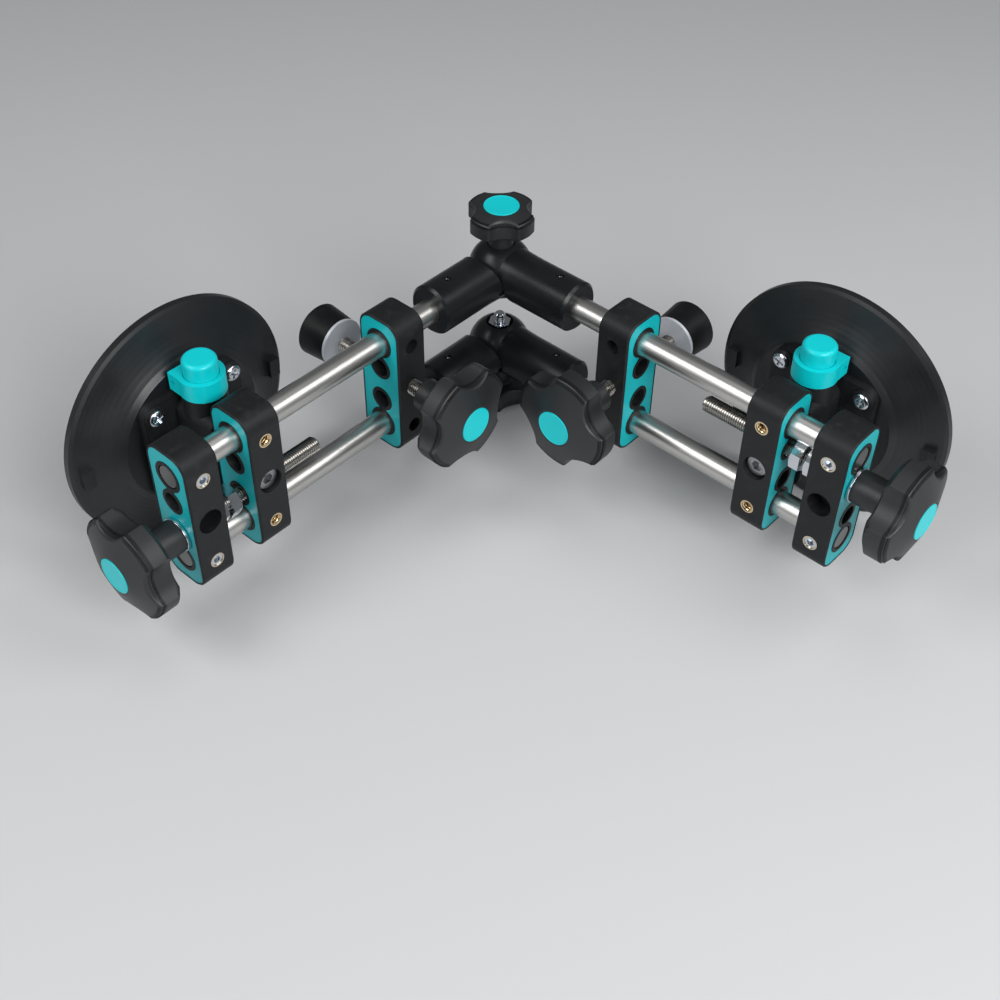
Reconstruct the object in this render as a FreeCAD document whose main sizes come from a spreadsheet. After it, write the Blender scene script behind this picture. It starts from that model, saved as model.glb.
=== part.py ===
import FreeCAD, Part
import Sketcher
import math
import os

# Corner seam setter: two arms of twin rods on a clamped double hinge, each arm with a pump suction
# cup on a screw-driven carriage and a levelling screw on a sliding block. Millimetres throughout.
# Row frame: origin at the middle of the left cup's sealing face, X away from the left slab,
# the left arm runs along -Y from the hinge, the right arm along +X, Z up.

V = FreeCAD.Vector
doc = FreeCAD.newDocument("corner_seam_setter")
sheet = doc.addObject("Spreadsheet::Sheet", "dims")

SIZES = [
    # stance of the arms
    ("rod_height", 67.0, "slab face to rod axis"),
    ("rod_dia", 15.0, "guide rod"),
    ("rod_half_gap", 30.0, "rod axis above and below the middle plane"),
    ("rod_start", 25.0, "hinge axis to the rod's buried end"),
    ("rod_end_inset", 0.4, "rod end below the end block's face"),
    ("rod_chamfer", 0.8, "rod end bevel"),
    ("carriage_out", 207.0, "hinge axis to carriage block"),
    ("end_out", 250.0, "hinge axis to end block"),
    ("left_level_out", 95.0, "hinge axis to left level block"),
    ("right_level_out", 102.0, "hinge axis to right level block"),
    ("run_fit", 0.08, "radial running clearance on rods and screws"),
    # moulded block
    ("block_height", 95.0, "block along Z"),
    ("block_depth", 32.0, "block away from the slab"),
    ("block_thick", 22.0, "block along the arm"),
    ("block_corner", 10.0, "block corner radius"),
    ("block_edge", 0.8, "block edge bevel"),
    ("plate_rim", 1.4, "rim left round the inlay plate"),
    ("plate_recess", 2.0, "pocket depth for the inlay plate"),
    ("plate_thick", 1.7, "inlay plate"),
    ("plate_gap", 0.12, "inlay plate edge clearance"),
    ("rod_ring_dia", 19.4, "collar round a rod bore"),
    ("port_dia", 11.6, "spare side port"),
    ("port_ring_dia", 16.0, "collar round a side port"),
    ("port_half_gap", 12.0, "side port above and below the middle plane"),
    ("web_width", 6.0, "web between the two collars"),
    ("front_hole_dia", 9.2, "front hole over a rod"),
    ("tap_hole_dia", 8.6, "front hole of the carriage, for an empty insert"),
    ("insert_len", 6.8, "front insert"),
    ("insert_bore", 6.8, "bore of an empty front insert"),
    ("bush_len", 12.0, "bush in a side port"),
    # set screws and cup bolt
    ("set_screw_dia", 7.6, "set screw"),
    ("set_screw_sink", 0.5, "set screw below the block face"),
    ("set_socket_flats", 4.0, "set screw hex socket"),
    ("set_socket_deep", 4.0, "set screw socket depth"),
    ("bolt_dia", 8.0, "cup bolt shank"),
    ("bolt_head_dia", 13.0, "cup bolt head"),
    ("bolt_head_high", 8.0, "cup bolt head height"),
    ("bolt_socket_flats", 6.0, "cup bolt hex socket"),
    ("bolt_socket_deep", 4.0, "cup bolt socket depth"),
    ("bolt_reach", 16.0, "cup bolt thread inside the hub"),
    ("counterbore_dia", 15.0, "counterbore in the middle of the carriage and end blocks"),
    ("counterbore_deep", 11.0, "depth of that counterbore"),
    # suction cup
    ("cup_dia", 152.4, "cup outside"),
    ("cup_lip_wide", 12.0, "flat sealing lip"),
    ("cup_rim_high", 4.0, "outer edge of the rim"),
    ("cup_bead", 2.2, "bevel over the rim"),
    ("cup_hollow_deep", 7.0, "hollow under the cup"),
    ("cup_hollow_flat", 60.0, "flat roof of the hollow, across"),
    ("cup_cone_top", 13.5, "top of the skirt"),
    ("cup_skirt_curve", 70.0, "hollow curve of the skirt, radius"),
    ("cup_seat_dia", 92.0, "raised seat"),
    ("cup_seat_high", 16.0, "raised seat above the slab"),
    ("cup_seat_slope", 3.5, "width of the slope up to the seat"),
    ("tab_near", 64.0, "lift tab inner radius"),
    ("tab_far", 71.0, "lift tab outer radius"),
    ("tab_wide", 12.0, "lift tab width"),
    ("tab_top", 10.0, "lift tab above the slab"),
    # pump
    ("hub_wide", 68.0, "hub flange along the arm"),
    ("hub_high", 70.0, "hub flange along Z"),
    ("hub_corner", 8.0, "hub flange corner radius"),
    ("hub_flange", 5.0, "hub flange thickness"),
    ("hub_neck_wide", 26.0, "hub neck along the arm"),
    ("hub_neck_high", 58.0, "hub neck along Z"),
    ("hub_neck_corner", 7.0, "hub neck corner radius"),
    ("hub_screw_u", 27.0, "hub screw beside the middle"),
    ("hub_screw_z", 28.0, "hub screw above the middle"),
    ("hub_screw_dia", 4.0, "hub screw shank"),
    ("hub_head_dia", 10.0, "hub screw head"),
    ("hub_head_high", 2.8, "hub screw head height"),
    ("hub_head_round", 1.4, "hub screw head rounding"),
    ("hub_pad_dia", 13.0, "raised seat under a hub screw"),
    ("hub_pad_high", 1.5, "height of that seat"),
    ("pump_height", 33.0, "slab face to pump axis"),
    ("barrel_dia", 26.0, "pump barrel"),
    ("barrel_foot", 12.0, "barrel below the middle plane"),
    ("barrel_top", 38.5, "barrel top above the middle plane"),
    ("barrel_bore", 22.8, "barrel bore"),
    ("barrel_floor", 11.0, "barrel bore floor above the middle plane"),
    ("collar_dia", 26.6, "pump collar"),
    ("collar_high", 11.5, "pump collar height"),
    ("collar_bore", 20.4, "pump collar bore"),
    ("wing_reach", 12.8, "square corner of the collar beyond the pump axis"),
    ("wing_pin", 2.6, "pin hole in that corner"),
    ("wing_pin_back", 9.8, "pin hole behind the pump axis"),
    ("wing_pin_deep", 2.4, "pin hole depth"),
    ("button_dia", 19.8, "pump button"),
    ("button_proud", 10.5, "button above the collar"),
    ("button_round", 2.4, "button top rounding"),
    ("button_flange", 22.2, "button stop flange"),
    ("button_flange_high", 3.0, "button stop flange height"),
    ("button_tail", 9.0, "button below its flange"),
    ("button_wall", 2.2, "button wall"),
    # screws and knobs
    ("screw_dia", 10.0, "lead and level screw"),
    ("lead_start", 160.0, "hinge axis to the lead screw's free end"),
    ("lead_drop", 12.0, "lead screw beside the middle plane"),
    ("nut_flats", 17.0, "jam nut across flats"),
    ("nut_high", 9.0, "jam nut height"),
    ("nut_gap", 0.3, "clear space beside a jam nut"),
    ("washer_dia", 21.0, "thrust washer"),
    ("washer_thick", 1.8, "thrust washer thickness"),
    ("washer_gap", 0.2, "thrust washer play"),
    ("big_dia", 63.0, "large knob over the lobes"),
    ("big_length", 41.0, "large knob overall"),
    ("big_boss_dia", 20.0, "large knob boss"),
    ("big_boss_len", 20.0, "large knob boss length"),
    ("big_back", 3.0, "large knob back slope"),
    ("big_wall", 10.6, "large knob side wall"),
    ("big_round", 4.0, "large knob rim rounding"),
    ("big_flute_dia", 44.0, "large knob flute"),
    ("big_flute_out", 47.6, "large knob flute centre"),
    ("big_screw_deep", 30.0, "screw inside the large knob"),
    ("big_cap_dia", 22.0, "large knob cap disc"),
    ("cap_sink", 1.2, "cap disc pocket"),
    ("cap_thick", 1.6, "cap disc"),
    ("cap_gap", 0.1, "cap disc edge clearance"),
    ("level_thread", 10.0, "bare thread between level block and knob"),
    ("pad_length", 20.0, "rubber pad"),
    ("pad_foot_dia", 34.0, "rubber pad at the slab"),
    ("pad_head_dia", 31.0, "rubber pad at its plate"),
    ("pad_edge", 1.0, "rubber pad bevel"),
    ("pad_plate_thick", 2.0, "pad plate"),
    # hinge
    ("ball_dia", 40.0, "knuckle ball"),
    ("socket_dia", 32.0, "knuckle socket"),
    ("socket_out", 63.0, "hinge axis to socket mouth"),
    ("socket_bevel", 1.6, "socket mouth bevel"),
    ("blend_near", 11.0, "hinge axis to the start of the blend"),
    ("blend_far", 27.0, "hinge axis to the end of the blend"),
    ("knuckle_gap", 0.1, "half the play between the two knuckles"),
    ("knuckle_clear", 21.6, "radius kept clear for the mating knuckle"),
    ("knuckle_clear_shift", 2.5, "that radius shifted to each side, for the mating socket's corners"),
    ("knuckle_floor", 12.0, "spot face above the split"),
    ("knuckle_spot", 17.4, "spot face diameter"),
    ("stud_dia", 8.0, "hinge stud"),
    ("stud_fit", 0.08, "hinge stud radial clearance"),
    ("stud_tail", 12.5, "hinge stud past the nut's seat"),
    ("stud_hidden", 7.0, "upper stud raised so it ends in its nut"),
    ("stud_nut_flats", 13.0, "hinge nut across flats"),
    ("stud_nut_high", 6.0, "hinge nut height"),
    ("socket_tap", 5.0, "socket clamp screw hole"),
    ("socket_tap_out", 48.0, "hinge axis to that hole"),
    ("lock_tap", 4.6, "stud lock screw hole in the left knuckles"),
    ("lock_drop", 4.5, "hinge split to that hole"),
    ("small_dia", 43.0, "clamp knob over the lobes"),
    ("small_length", 32.0, "clamp knob overall"),
    ("small_boss_dia", 16.0, "clamp knob boss"),
    ("small_boss_len", 17.5, "clamp knob boss length"),
    ("small_back", 1.5, "clamp knob back slope"),
    ("small_wall", 9.0, "clamp knob side wall"),
    ("small_round", 2.6, "clamp knob rim rounding"),
    ("small_flute_dia", 26.6, "clamp knob flute"),
    ("small_flute_out", 30.1, "clamp knob flute centre"),
    ("small_screw_deep", 26.0, "stud inside the clamp knob"),
    ("small_cap_dia", 22.0, "clamp knob cap disc"),
]


class Size:
    """A length that keeps both its value and the sheet expression it comes from."""

    def __init__(self, value, text):
        self.value = value
        self.text = text

    def __add__(self, other):
        other = as_size(other)
        return Size(self.value + other.value, f"({self.text} + {other.text})")

    def __sub__(self, other):
        other = as_size(other)
        return Size(self.value - other.value, f"({self.text} - {other.text})")

    def __mul__(self, other):
        other = as_size(other)
        return Size(self.value * other.value, f"({self.text} * {other.text})")

    def __truediv__(self, other):
        other = as_size(other)
        return Size(self.value / other.value, f"({self.text} / {other.text})")

    def __neg__(self):
        return Size(-self.value, f"(0 - {self.text})")

    def __rsub__(self, other):
        return as_size(other) - self

    __radd__ = __add__
    __rmul__ = __mul__


def as_size(value):
    if isinstance(value, Size):
        return value
    return Size(float(value), repr(float(value)))


S = {}
for row, (alias, value, note) in enumerate(SIZES, 1):
    sheet.set(f"A{row}", note)
    sheet.set(f"B{row}", str(value))
    sheet.setAlias(f"B{row}", alias)
    S[alias] = Size(value, f"dims.{alias}")
doc.recompute()

ROD_R = S["rod_dia"] / 2
SCREW_R = S["screw_dia"] / 2
STUD_R = S["stud_dia"] / 2
HALF_DEPTH = S["block_depth"] / 2
HALF_THICK = S["block_thick"] / 2
LOBES = 4
# Each knob's turn about its own axis, in degrees
KNOB_TURNS = {"left_lead": 10, "right_lead": 56, "left_level": 81, "right_level": 32,
              "upper_clamp": 46, "lower_clamp": 20}


# Sketch and feature helpers

def new_body(label):
    body = doc.addObject("PartDesign::Body", label)
    body.Label = label
    body.AllowCompound = True
    return body


def new_sketch(body, plane, lift=None):
    """A sketch on one of the body's own origin planes, raised along the plane's normal."""
    sketch = body.newObject("Sketcher::SketchObject", f"{body.Name}_sketch")
    support = next(f for f in body.Origin.OriginFeatures if f.Role == plane)
    sketch.AttachmentSupport = [(support, "")]
    sketch.MapMode = "FlatFace"
    if lift is not None:
        sketch.setExpression("AttachmentOffset.Base.z", as_size(lift).text)
    return sketch


def bind(sketch, constraint, size):
    index = sketch.addConstraint(constraint)
    sketch.setExpression(f"Constraints[{index}]", size.text)


def pin_point(sketch, geo, pos, x, y):
    """Hold one point of a sketch at a place that follows the sheet."""
    for kind, size, axis in (("DistanceX", as_size(x), -2), ("DistanceY", as_size(y), -1)):
        if abs(size.value) < 1e-9:
            sketch.addConstraint(Sketcher.Constraint("PointOnObject", geo, pos, axis))
        elif size.value > 0:
            bind(sketch, Sketcher.Constraint(kind, -1, 1, geo, pos, size.value), size)
        else:
            bind(sketch, Sketcher.Constraint(kind, geo, pos, -1, 1, -size.value), -size)


def circle(sketch, x, y, radius):
    x, y, radius = as_size(x), as_size(y), as_size(radius)
    geo = sketch.addGeometry(Part.Circle(V(x.value, y.value, 0), V(0, 0, 1), radius.value), False)
    bind(sketch, Sketcher.Constraint("Radius", geo, radius.value), radius)
    pin_point(sketch, geo, 3, x, y)


def arc_between(start, end, radius, counter):
    """The shorter arc from start to end, counter-clockwise or clockwise."""
    half = (end - start) * 0.5
    rise = math.sqrt(max(radius ** 2 - half.Length ** 2, 0.0))
    side = V(-half.y, half.x, 0).normalize() * rise
    centre = start + half + (side if counter else -side)
    first, last = (start, end) if counter else (end, start)
    angles = [math.atan2(p.y - centre.y, p.x - centre.x) for p in (first, last)]
    if angles[1] < angles[0]:
        angles[1] += 2 * math.pi
    return Part.ArcOfCircle(Part.Circle(centre, V(0, 0, 1), radius), angles[0], angles[1])


def outline(sketch, points):
    """A closed loop. A point is (x, y), or (x, y, radius, counter) when an arc leads up to it."""
    places = [V(as_size(p[0]).value, as_size(p[1]).value, 0) for p in points]
    ends = []
    for k, point in enumerate(points):
        start, end = places[k - 1], places[k]
        if len(point) == 2:
            geo = sketch.addGeometry(Part.LineSegment(start, end), False)
            ends.append((geo, 1, 2))
            continue
        radius, counter = as_size(point[2]), point[3]
        geo = sketch.addGeometry(arc_between(start, end, radius.value, counter), False)
        bind(sketch, Sketcher.Constraint("Radius", geo, radius.value), radius)
        ends.append((geo, 1, 2) if counter else (geo, 2, 1))
    for k, point in enumerate(points):
        geo, _, last = ends[k]
        after = ends[(k + 1) % len(points)]
        sketch.addConstraint(Sketcher.Constraint("Coincident", geo, last, after[0], after[1]))
        pin_point(sketch, geo, last, point[0], point[1])


def rounded_rectangle(sketch, wide, high, corner):
    x, y, r = as_size(wide) / 2, as_size(high) / 2, as_size(corner)
    outline(sketch, [
        (x - r, -y), (x, r - y, r, True), (x, y - r), (x - r, y, r, True),
        (r - x, y), (-x, y - r, r, True), (-x, r - y), (r - x, -y, r, True)])


def hexagon(sketch, x, y, flats):
    reach = as_size(flats) / math.sqrt(3)
    corners = []
    for k in range(6):
        turn = math.radians(60 * k)
        corners.append((x + reach * math.cos(turn), y + reach * math.sin(turn)))
    outline(sketch, corners)


def feature(body, kind, sketch=None):
    item = body.newObject(f"PartDesign::{kind}", f"{body.Name}_{kind.lower()}")
    if sketch is not None:
        item.Profile = sketch
        sketch.Visibility = False
    return item


def settle(body, item, change):
    """Recompute, and stop if the feature did not add or take away material as meant."""
    before = 0.0 if body.Shape.isNull() else body.Shape.Volume
    body.Tip = item
    doc.recompute()
    after = body.Shape.Volume
    if change * (after - before) <= 1e-6:
        raise RuntimeError(f"{item.Name} changed the volume from {before:.2f} to {after:.2f}")
    return item


def pad(body, sketch, length, both=False, back=False):
    item = feature(body, "Pad", sketch)
    item.SideType = "Symmetric" if both else "One side"
    item.Reversed = back
    item.setExpression("Length", as_size(length).text)
    return settle(body, item, 1)


def pocket(body, sketch, length=None, back=False):
    item = feature(body, "Pocket", sketch)
    item.Reversed = back
    if length is None:
        item.Type = "ThroughAll"
        item.SideType = "Symmetric"
    else:
        item.setExpression("Length", as_size(length).text)
    return settle(body, item, -1)


def revolve(body, sketch, axis):
    item = feature(body, "Revolution", sketch)
    item.ReferenceAxis = (sketch, [axis])
    item.Angle = 360
    return settle(body, item, 1)


def origin_item(body, role):
    return next(f for f in body.Origin.OriginFeatures if f.Role == role)


def polar(body, source, count):
    item = feature(body, "PolarPattern")
    item.Originals = [source]
    item.Axis = (origin_item(body, "Z_Axis"), [""])
    item.Angle = 360
    item.Occurrences = count
    return settle(body, item, -1)


def mirror(body, source, plane):
    item = feature(body, "Mirrored")
    item.Originals = [source]
    item.MirrorPlane = (origin_item(body, plane), [""])
    return settle(body, item, -1)


def dress(body, kind, size, wanted):
    """Fillet or chamfer the edges of the body that the given test picks."""
    base = body.Tip
    names = [f"Edge{k}" for k, edge in enumerate(base.Shape.Edges, 1) if wanted(edge)]
    item = feature(body, kind)
    item.Base = (base, names)
    item.setExpression("Radius" if kind == "Fillet" else "Size", as_size(size).text)
    return settle(body, item, -1)


# Places on the two arms: u along the arm from the hinge axis, w away from the rods, z up

X_AXIS, Y_AXIS, Z_AXIS = V(1, 0, 0), V(0, 1, 0), V(0, 0, 1)
turn = FreeCAD.Rotation
ARMS = {
    "left": {
        "block": turn(Z_AXIS, -90), "along": turn(X_AXIS, 90), "outward": turn(Y_AXIS, 90),
        "knuckle": turn(Z_AXIS, -90) * turn(X_AXIS, 180), "outer": 1, "lead_z": -S["lead_drop"],
        "level_u": S["left_level_out"], "dome": -1},
    "right": {
        "block": turn(Z_AXIS, 180), "along": turn(Y_AXIS, 90), "outward": turn(X_AXIS, 90),
        "knuckle": turn(Z_AXIS, 0), "outer": -1, "lead_z": S["lead_drop"],
        "level_u": S["right_level_out"], "dome": 1},
}


def put(item, arm, pose, u, w, z, spin=0.0):
    """Place a part on an arm. Its position follows the sheet."""
    u, w, z = as_size(u), as_size(w), as_size(z)
    if arm == "left":
        x, y = S["rod_height"] + w, S["carriage_out"] - u
    else:
        x, y = S["rod_height"] + u, S["carriage_out"] - w
    rotation = ARMS[arm][pose] * turn(Z_AXIS, spin)
    item.Placement = FreeCAD.Placement(V(x.value, y.value, z.value), rotation)
    for letter, size in zip("xyz", (x, y, z)):
        item.setExpression(f"Placement.Base.{letter}", size.text)


# Moulded blocks with their inlay plates

def collar_islands(sketch, rod_r, port_r):
    """The two figure-eight collars that stand through an inlay plate."""
    half = S["web_width"] / 2
    for side in (1, -1):
        rod_z, port_z = S["rod_half_gap"], S["port_half_gap"]
        rod_drop = math.sqrt(rod_r.value ** 2 - half.value ** 2)
        port_rise = math.sqrt(port_r.value ** 2 - half.value ** 2)
        rod_edge = rod_z - rod_drop
        port_edge = port_z + port_rise
        for centre, radius, edge, up in ((rod_z, rod_r, rod_edge, 1), (port_z, port_r, port_edge, -1)):
            low = math.atan2(edge.value - centre.value, half.value)
            first, last = (low, math.pi - low) if up > 0 else (math.pi - low, 2 * math.pi + low)
            if side < 0:
                first, last = -last, -first
            ring = Part.Circle(V(0, side * centre.value, 0), V(0, 0, 1), radius.value)
            geo = sketch.addGeometry(Part.ArcOfCircle(ring, first, last), False)
            bind(sketch, Sketcher.Constraint("Radius", geo, radius.value), radius)
            pin_point(sketch, geo, 3, 0, side * centre)
        rod_arc, port_arc = geo - 1, geo
        for reach in (1, -1):
            line = sketch.addGeometry(Part.LineSegment(
                V(reach * half.value, side * port_edge.value, 0),
                V(reach * half.value, side * rod_edge.value, 0)), False)
            near_start = 1 if reach * side > 0 else 2
            sketch.addConstraint(Sketcher.Constraint("Coincident", line, 2, rod_arc, near_start))
            sketch.addConstraint(Sketcher.Constraint("Coincident", line, 1, port_arc, 3 - near_start))
            sketch.addConstraint(Sketcher.Constraint("Vertical", line))
            if reach > 0:
                bind(sketch, Sketcher.Constraint("DistanceX", -1, 1, line, 1, half.value), half)
            else:
                bind(sketch, Sketcher.Constraint("DistanceX", line, 1, -1, 1, half.value), half)


def plate_outline(sketch, gap):
    rim = S["plate_rim"] + gap
    rounded_rectangle(sketch, S["block_depth"] - rim * 2, S["block_height"] - rim * 2,
                      S["block_corner"] - rim)
    collar_islands(sketch, S["rod_ring_dia"] / 2 + gap, S["port_ring_dia"] / 2 + gap)


def make_block(label, rod_bore, port_r):
    """Rounded block: pockets for the inlay plates, two rod bores and two side ports."""
    body = new_body(label)
    sketch = new_sketch(body, "YZ_Plane")
    rounded_rectangle(sketch, S["block_depth"], S["block_height"], S["block_corner"])
    pad(body, sketch, S["block_thick"], both=True)
    face = HALF_THICK.value
    dress(body, "Chamfer", S["block_edge"],
          lambda e: all(abs(abs(v.X) - face) < 1e-6 for v in e.Vertexes) and e.Vertexes[0].X ==
          e.Vertexes[-1].X)
    sketch = new_sketch(body, "YZ_Plane", HALF_THICK)
    plate_outline(sketch, as_size(0))
    recess = pocket(body, sketch, S["plate_recess"])
    mirror(body, recess, "YZ_Plane")
    sketch = new_sketch(body, "YZ_Plane")
    for side in (1, -1):
        circle(sketch, 0, side * S["rod_half_gap"], rod_bore)
        circle(sketch, 0, side * S["port_half_gap"], port_r)
    pocket(body, sketch)
    return body


def front_pocket(body, holes, length=None):
    """Holes from the block's front face. Each is (z, radius)."""
    sketch = new_sketch(body, "XZ_Plane", -HALF_DEPTH)
    for z, radius in holes:
        circle(sketch, 0, z, radius)
    if length is None:
        return pocket(body, sketch)
    return pocket(body, sketch, length, back=True)


def make_plates(label):
    """The two inlay plates of one block, seated on the pocket floors."""
    body = new_body(label)
    floor = HALF_THICK - S["plate_recess"]
    for side in (1, -1):
        sketch = new_sketch(body, "YZ_Plane", side * floor)
        plate_outline(sketch, S["plate_gap"])
        pad(body, sketch, S["plate_thick"], back=side < 0)
    return body


def bolt_place(body):
    """Counterbored hole through the middle of a block."""
    front_pocket(body, [(0, S["counterbore_dia"] / 2)], S["counterbore_deep"])
    front_pocket(body, [(0, S["bolt_dia"] / 2)])


def make_end_block(label):
    body = make_block(label, ROD_R, S["port_dia"] / 2)
    rods = [(side * S["rod_half_gap"], S["front_hole_dia"] / 2) for side in (1, -1)]
    front_pocket(body, rods, HALF_DEPTH - ROD_R + 1)
    bolt_place(body)
    return body


def make_carriage_block(label):
    body = make_block(label, ROD_R + S["run_fit"], S["port_dia"] / 2)
    taps = [(side * S["rod_half_gap"], S["tap_hole_dia"] / 2) for side in (1, -1)]
    front_pocket(body, taps, S["insert_len"])
    bolt_place(body)
    return body


def make_level_block(label):
    body = make_block(label, ROD_R + S["run_fit"], S["port_dia"] / 2)
    holes = [(side * S["rod_half_gap"], S["front_hole_dia"] / 2) for side in (1, -1)]
    front_pocket(body, holes, HALF_DEPTH - ROD_R + 1)
    front_pocket(body, [(0, SCREW_R + S["run_fit"])])
    return body


def make_inserts(label, outside, bore, bush_places):
    """Brass front inserts at the rod heights, and brass bushes in the given side ports."""
    body = new_body(label)
    sketch = new_sketch(body, "XZ_Plane", -HALF_DEPTH)
    for side in (1, -1):
        circle(sketch, 0, side * S["rod_half_gap"], outside)
        circle(sketch, 0, side * S["rod_half_gap"], bore)
    pad(body, sketch, S["insert_len"])
    sketch = new_sketch(body, "YZ_Plane")
    for z in bush_places:
        circle(sketch, 0, z, S["port_dia"] / 2)
        circle(sketch, 0, z, SCREW_R + S["run_fit"])
    pad(body, sketch, S["bush_len"], both=True)
    return body


def make_set_screws(label):
    """Socket set screws that bear on the two rods."""
    body = new_body(label)
    length = HALF_DEPTH - ROD_R - S["set_screw_sink"]
    top = -HALF_DEPTH + S["set_screw_sink"]
    sketch = new_sketch(body, "XZ_Plane", top)
    for side in (1, -1):
        circle(sketch, 0, side * S["rod_half_gap"], S["set_screw_dia"] / 2)
    pad(body, sketch, length)
    sketch = new_sketch(body, "XZ_Plane", top)
    for side in (1, -1):
        hexagon(sketch, as_size(0), side * S["rod_half_gap"], S["set_socket_flats"])
    pocket(body, sketch, S["set_socket_deep"], back=True)
    return body


def make_cup_bolt(label):
    """Socket cap screw through the carriage block into the hub."""
    body = new_body(label)
    seat = HALF_DEPTH - S["counterbore_deep"]
    sketch = new_sketch(body, "XZ_Plane", -seat)
    circle(sketch, 0, 0, S["bolt_dia"] / 2)
    pad(body, sketch, seat + HALF_DEPTH + S["bolt_reach"])
    sketch = new_sketch(body, "XZ_Plane", -seat)
    circle(sketch, 0, 0, S["bolt_head_dia"] / 2)
    pad(body, sketch, S["bolt_head_high"], back=True)
    sketch = new_sketch(body, "XZ_Plane", -seat - S["bolt_head_high"])
    hexagon(sketch, as_size(0), as_size(0), S["bolt_socket_flats"])
    pocket(body, sketch, S["bolt_socket_deep"], back=True)
    return body


# Cup and pump

HUB_FOOT = S["cup_seat_high"] - S["rod_height"]
PUMP_W = S["pump_height"] - S["rod_height"]


def make_cup(label):
    """Rubber cup with a flat lip, a hollow, a flared skirt, a raised seat and two lift tabs."""
    body = new_body(label)
    outer = S["cup_dia"] / 2
    seat = S["cup_seat_dia"] / 2
    sketch = new_sketch(body, "XZ_Plane")
    outline(sketch, [
        (0, S["cup_hollow_deep"]), (S["cup_hollow_flat"] / 2, S["cup_hollow_deep"]),
        (outer - S["cup_lip_wide"], 0), (outer, 0), (outer, S["cup_rim_high"]),
        (outer - S["cup_bead"], S["cup_rim_high"] + S["cup_bead"] / 2),
        (seat + S["cup_seat_slope"], S["cup_cone_top"], S["cup_skirt_curve"], False),
        (seat, S["cup_seat_high"]), (0, S["cup_seat_high"])])
    revolve(body, sketch, "V_Axis")
    root = S["cup_rim_high"]
    for side in (1, -1):
        sketch = new_sketch(body, "XY_Plane", root)
        half = S["tab_wide"] / 2
        near, far = (side * S["tab_near"], side * S["tab_far"])
        outline(sketch, [(half, near), (half, far), (-half, far), (-half, near)])
        pad(body, sketch, S["tab_top"] - root)
    return body


def make_hub(label):
    """Pump hub: screwed flange, neck to the carriage block, upright pump barrel."""
    body = new_body(label)
    sketch = new_sketch(body, "XZ_Plane", -HUB_FOOT)
    rounded_rectangle(sketch, S["hub_wide"], S["hub_high"], S["hub_corner"])
    pad(body, sketch, S["hub_flange"], back=True)
    sketch = new_sketch(body, "XZ_Plane", -HUB_FOOT)
    for z in (S["hub_screw_z"], -S["hub_screw_z"]):
        for u in (S["hub_screw_u"], -S["hub_screw_u"]):
            circle(sketch, u, z, S["hub_pad_dia"] / 2)
    pad(body, sketch, S["hub_flange"] + S["hub_pad_high"], back=True)
    sketch = new_sketch(body, "XZ_Plane", -HUB_FOOT)
    rounded_rectangle(sketch, S["hub_neck_wide"], S["hub_neck_high"], S["hub_neck_corner"])
    pad(body, sketch, -HALF_DEPTH - HUB_FOOT, back=True)
    sketch = new_sketch(body, "XY_Plane", -S["barrel_foot"])
    circle(sketch, 0, PUMP_W, S["barrel_dia"] / 2)
    pad(body, sketch, S["barrel_foot"] + S["barrel_top"])
    sketch = new_sketch(body, "XY_Plane", S["barrel_top"])
    circle(sketch, 0, PUMP_W, S["barrel_bore"] / 2)
    pocket(body, sketch, S["barrel_top"] - S["barrel_floor"])
    sketch = new_sketch(body, "XZ_Plane", HALF_DEPTH)
    circle(sketch, 0, 0, S["bolt_dia"] / 2)
    pocket(body, sketch, S["bolt_reach"], back=True)
    sketch = new_sketch(body, "XZ_Plane", -HUB_FOOT)
    for z in (S["hub_screw_z"], -S["hub_screw_z"]):
        for u in (S["hub_screw_u"], -S["hub_screw_u"]):
            circle(sketch, u, z, S["hub_screw_dia"] / 2)
    pocket(body, sketch, S["hub_flange"] + S["hub_pad_high"])
    return body


def make_hub_screws(label):
    """Four pan head screws through the hub flange."""
    body = new_body(label)
    seat = HUB_FOOT + S["hub_flange"] + S["hub_pad_high"]
    for radius, length, back in ((S["hub_screw_dia"] / 2, S["hub_flange"] + S["hub_pad_high"], False),
                                 (S["hub_head_dia"] / 2, S["hub_head_high"], True)):
        sketch = new_sketch(body, "XZ_Plane", -seat)
        for z in (S["hub_screw_z"], -S["hub_screw_z"]):
            for u in (S["hub_screw_u"], -S["hub_screw_u"]):
                circle(sketch, u, z, radius)
        pad(body, sketch, length, back=back)
    top = (seat + S["hub_head_high"]).value
    dress(body, "Fillet", S["hub_head_round"],
          lambda e: len(e.Vertexes) == 1 and abs(e.Vertexes[0].Y - top) < 1e-6)
    return body


def make_collar(label, outer):
    """Pump collar with a square corner on the outer side, next to the slab."""
    body = new_body(label)
    radius = S["collar_dia"] / 2
    sketch = new_sketch(body, "XY_Plane", S["barrel_top"])
    circle(sketch, 0, PUMP_W, radius)
    pad(body, sketch, S["collar_high"])
    back = PUMP_W - radius
    sketch = new_sketch(body, "XY_Plane", S["barrel_top"])
    outline(sketch, [(0, back), (outer * S["wing_reach"], back), (outer * S["wing_reach"], PUMP_W),
                     (0, PUMP_W)])
    pad(body, sketch, S["collar_high"])
    sketch = new_sketch(body, "XY_Plane", S["barrel_top"])
    circle(sketch, 0, PUMP_W, S["collar_bore"] / 2)
    pocket(body, sketch)
    sketch = new_sketch(body, "YZ_Plane", outer * S["wing_reach"])
    circle(sketch, PUMP_W - S["wing_pin_back"], S["barrel_top"] + S["collar_high"] / 2, S["wing_pin"] / 2)
    pocket(body, sketch, S["wing_pin_deep"], back=outer < 0)
    return body


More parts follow.
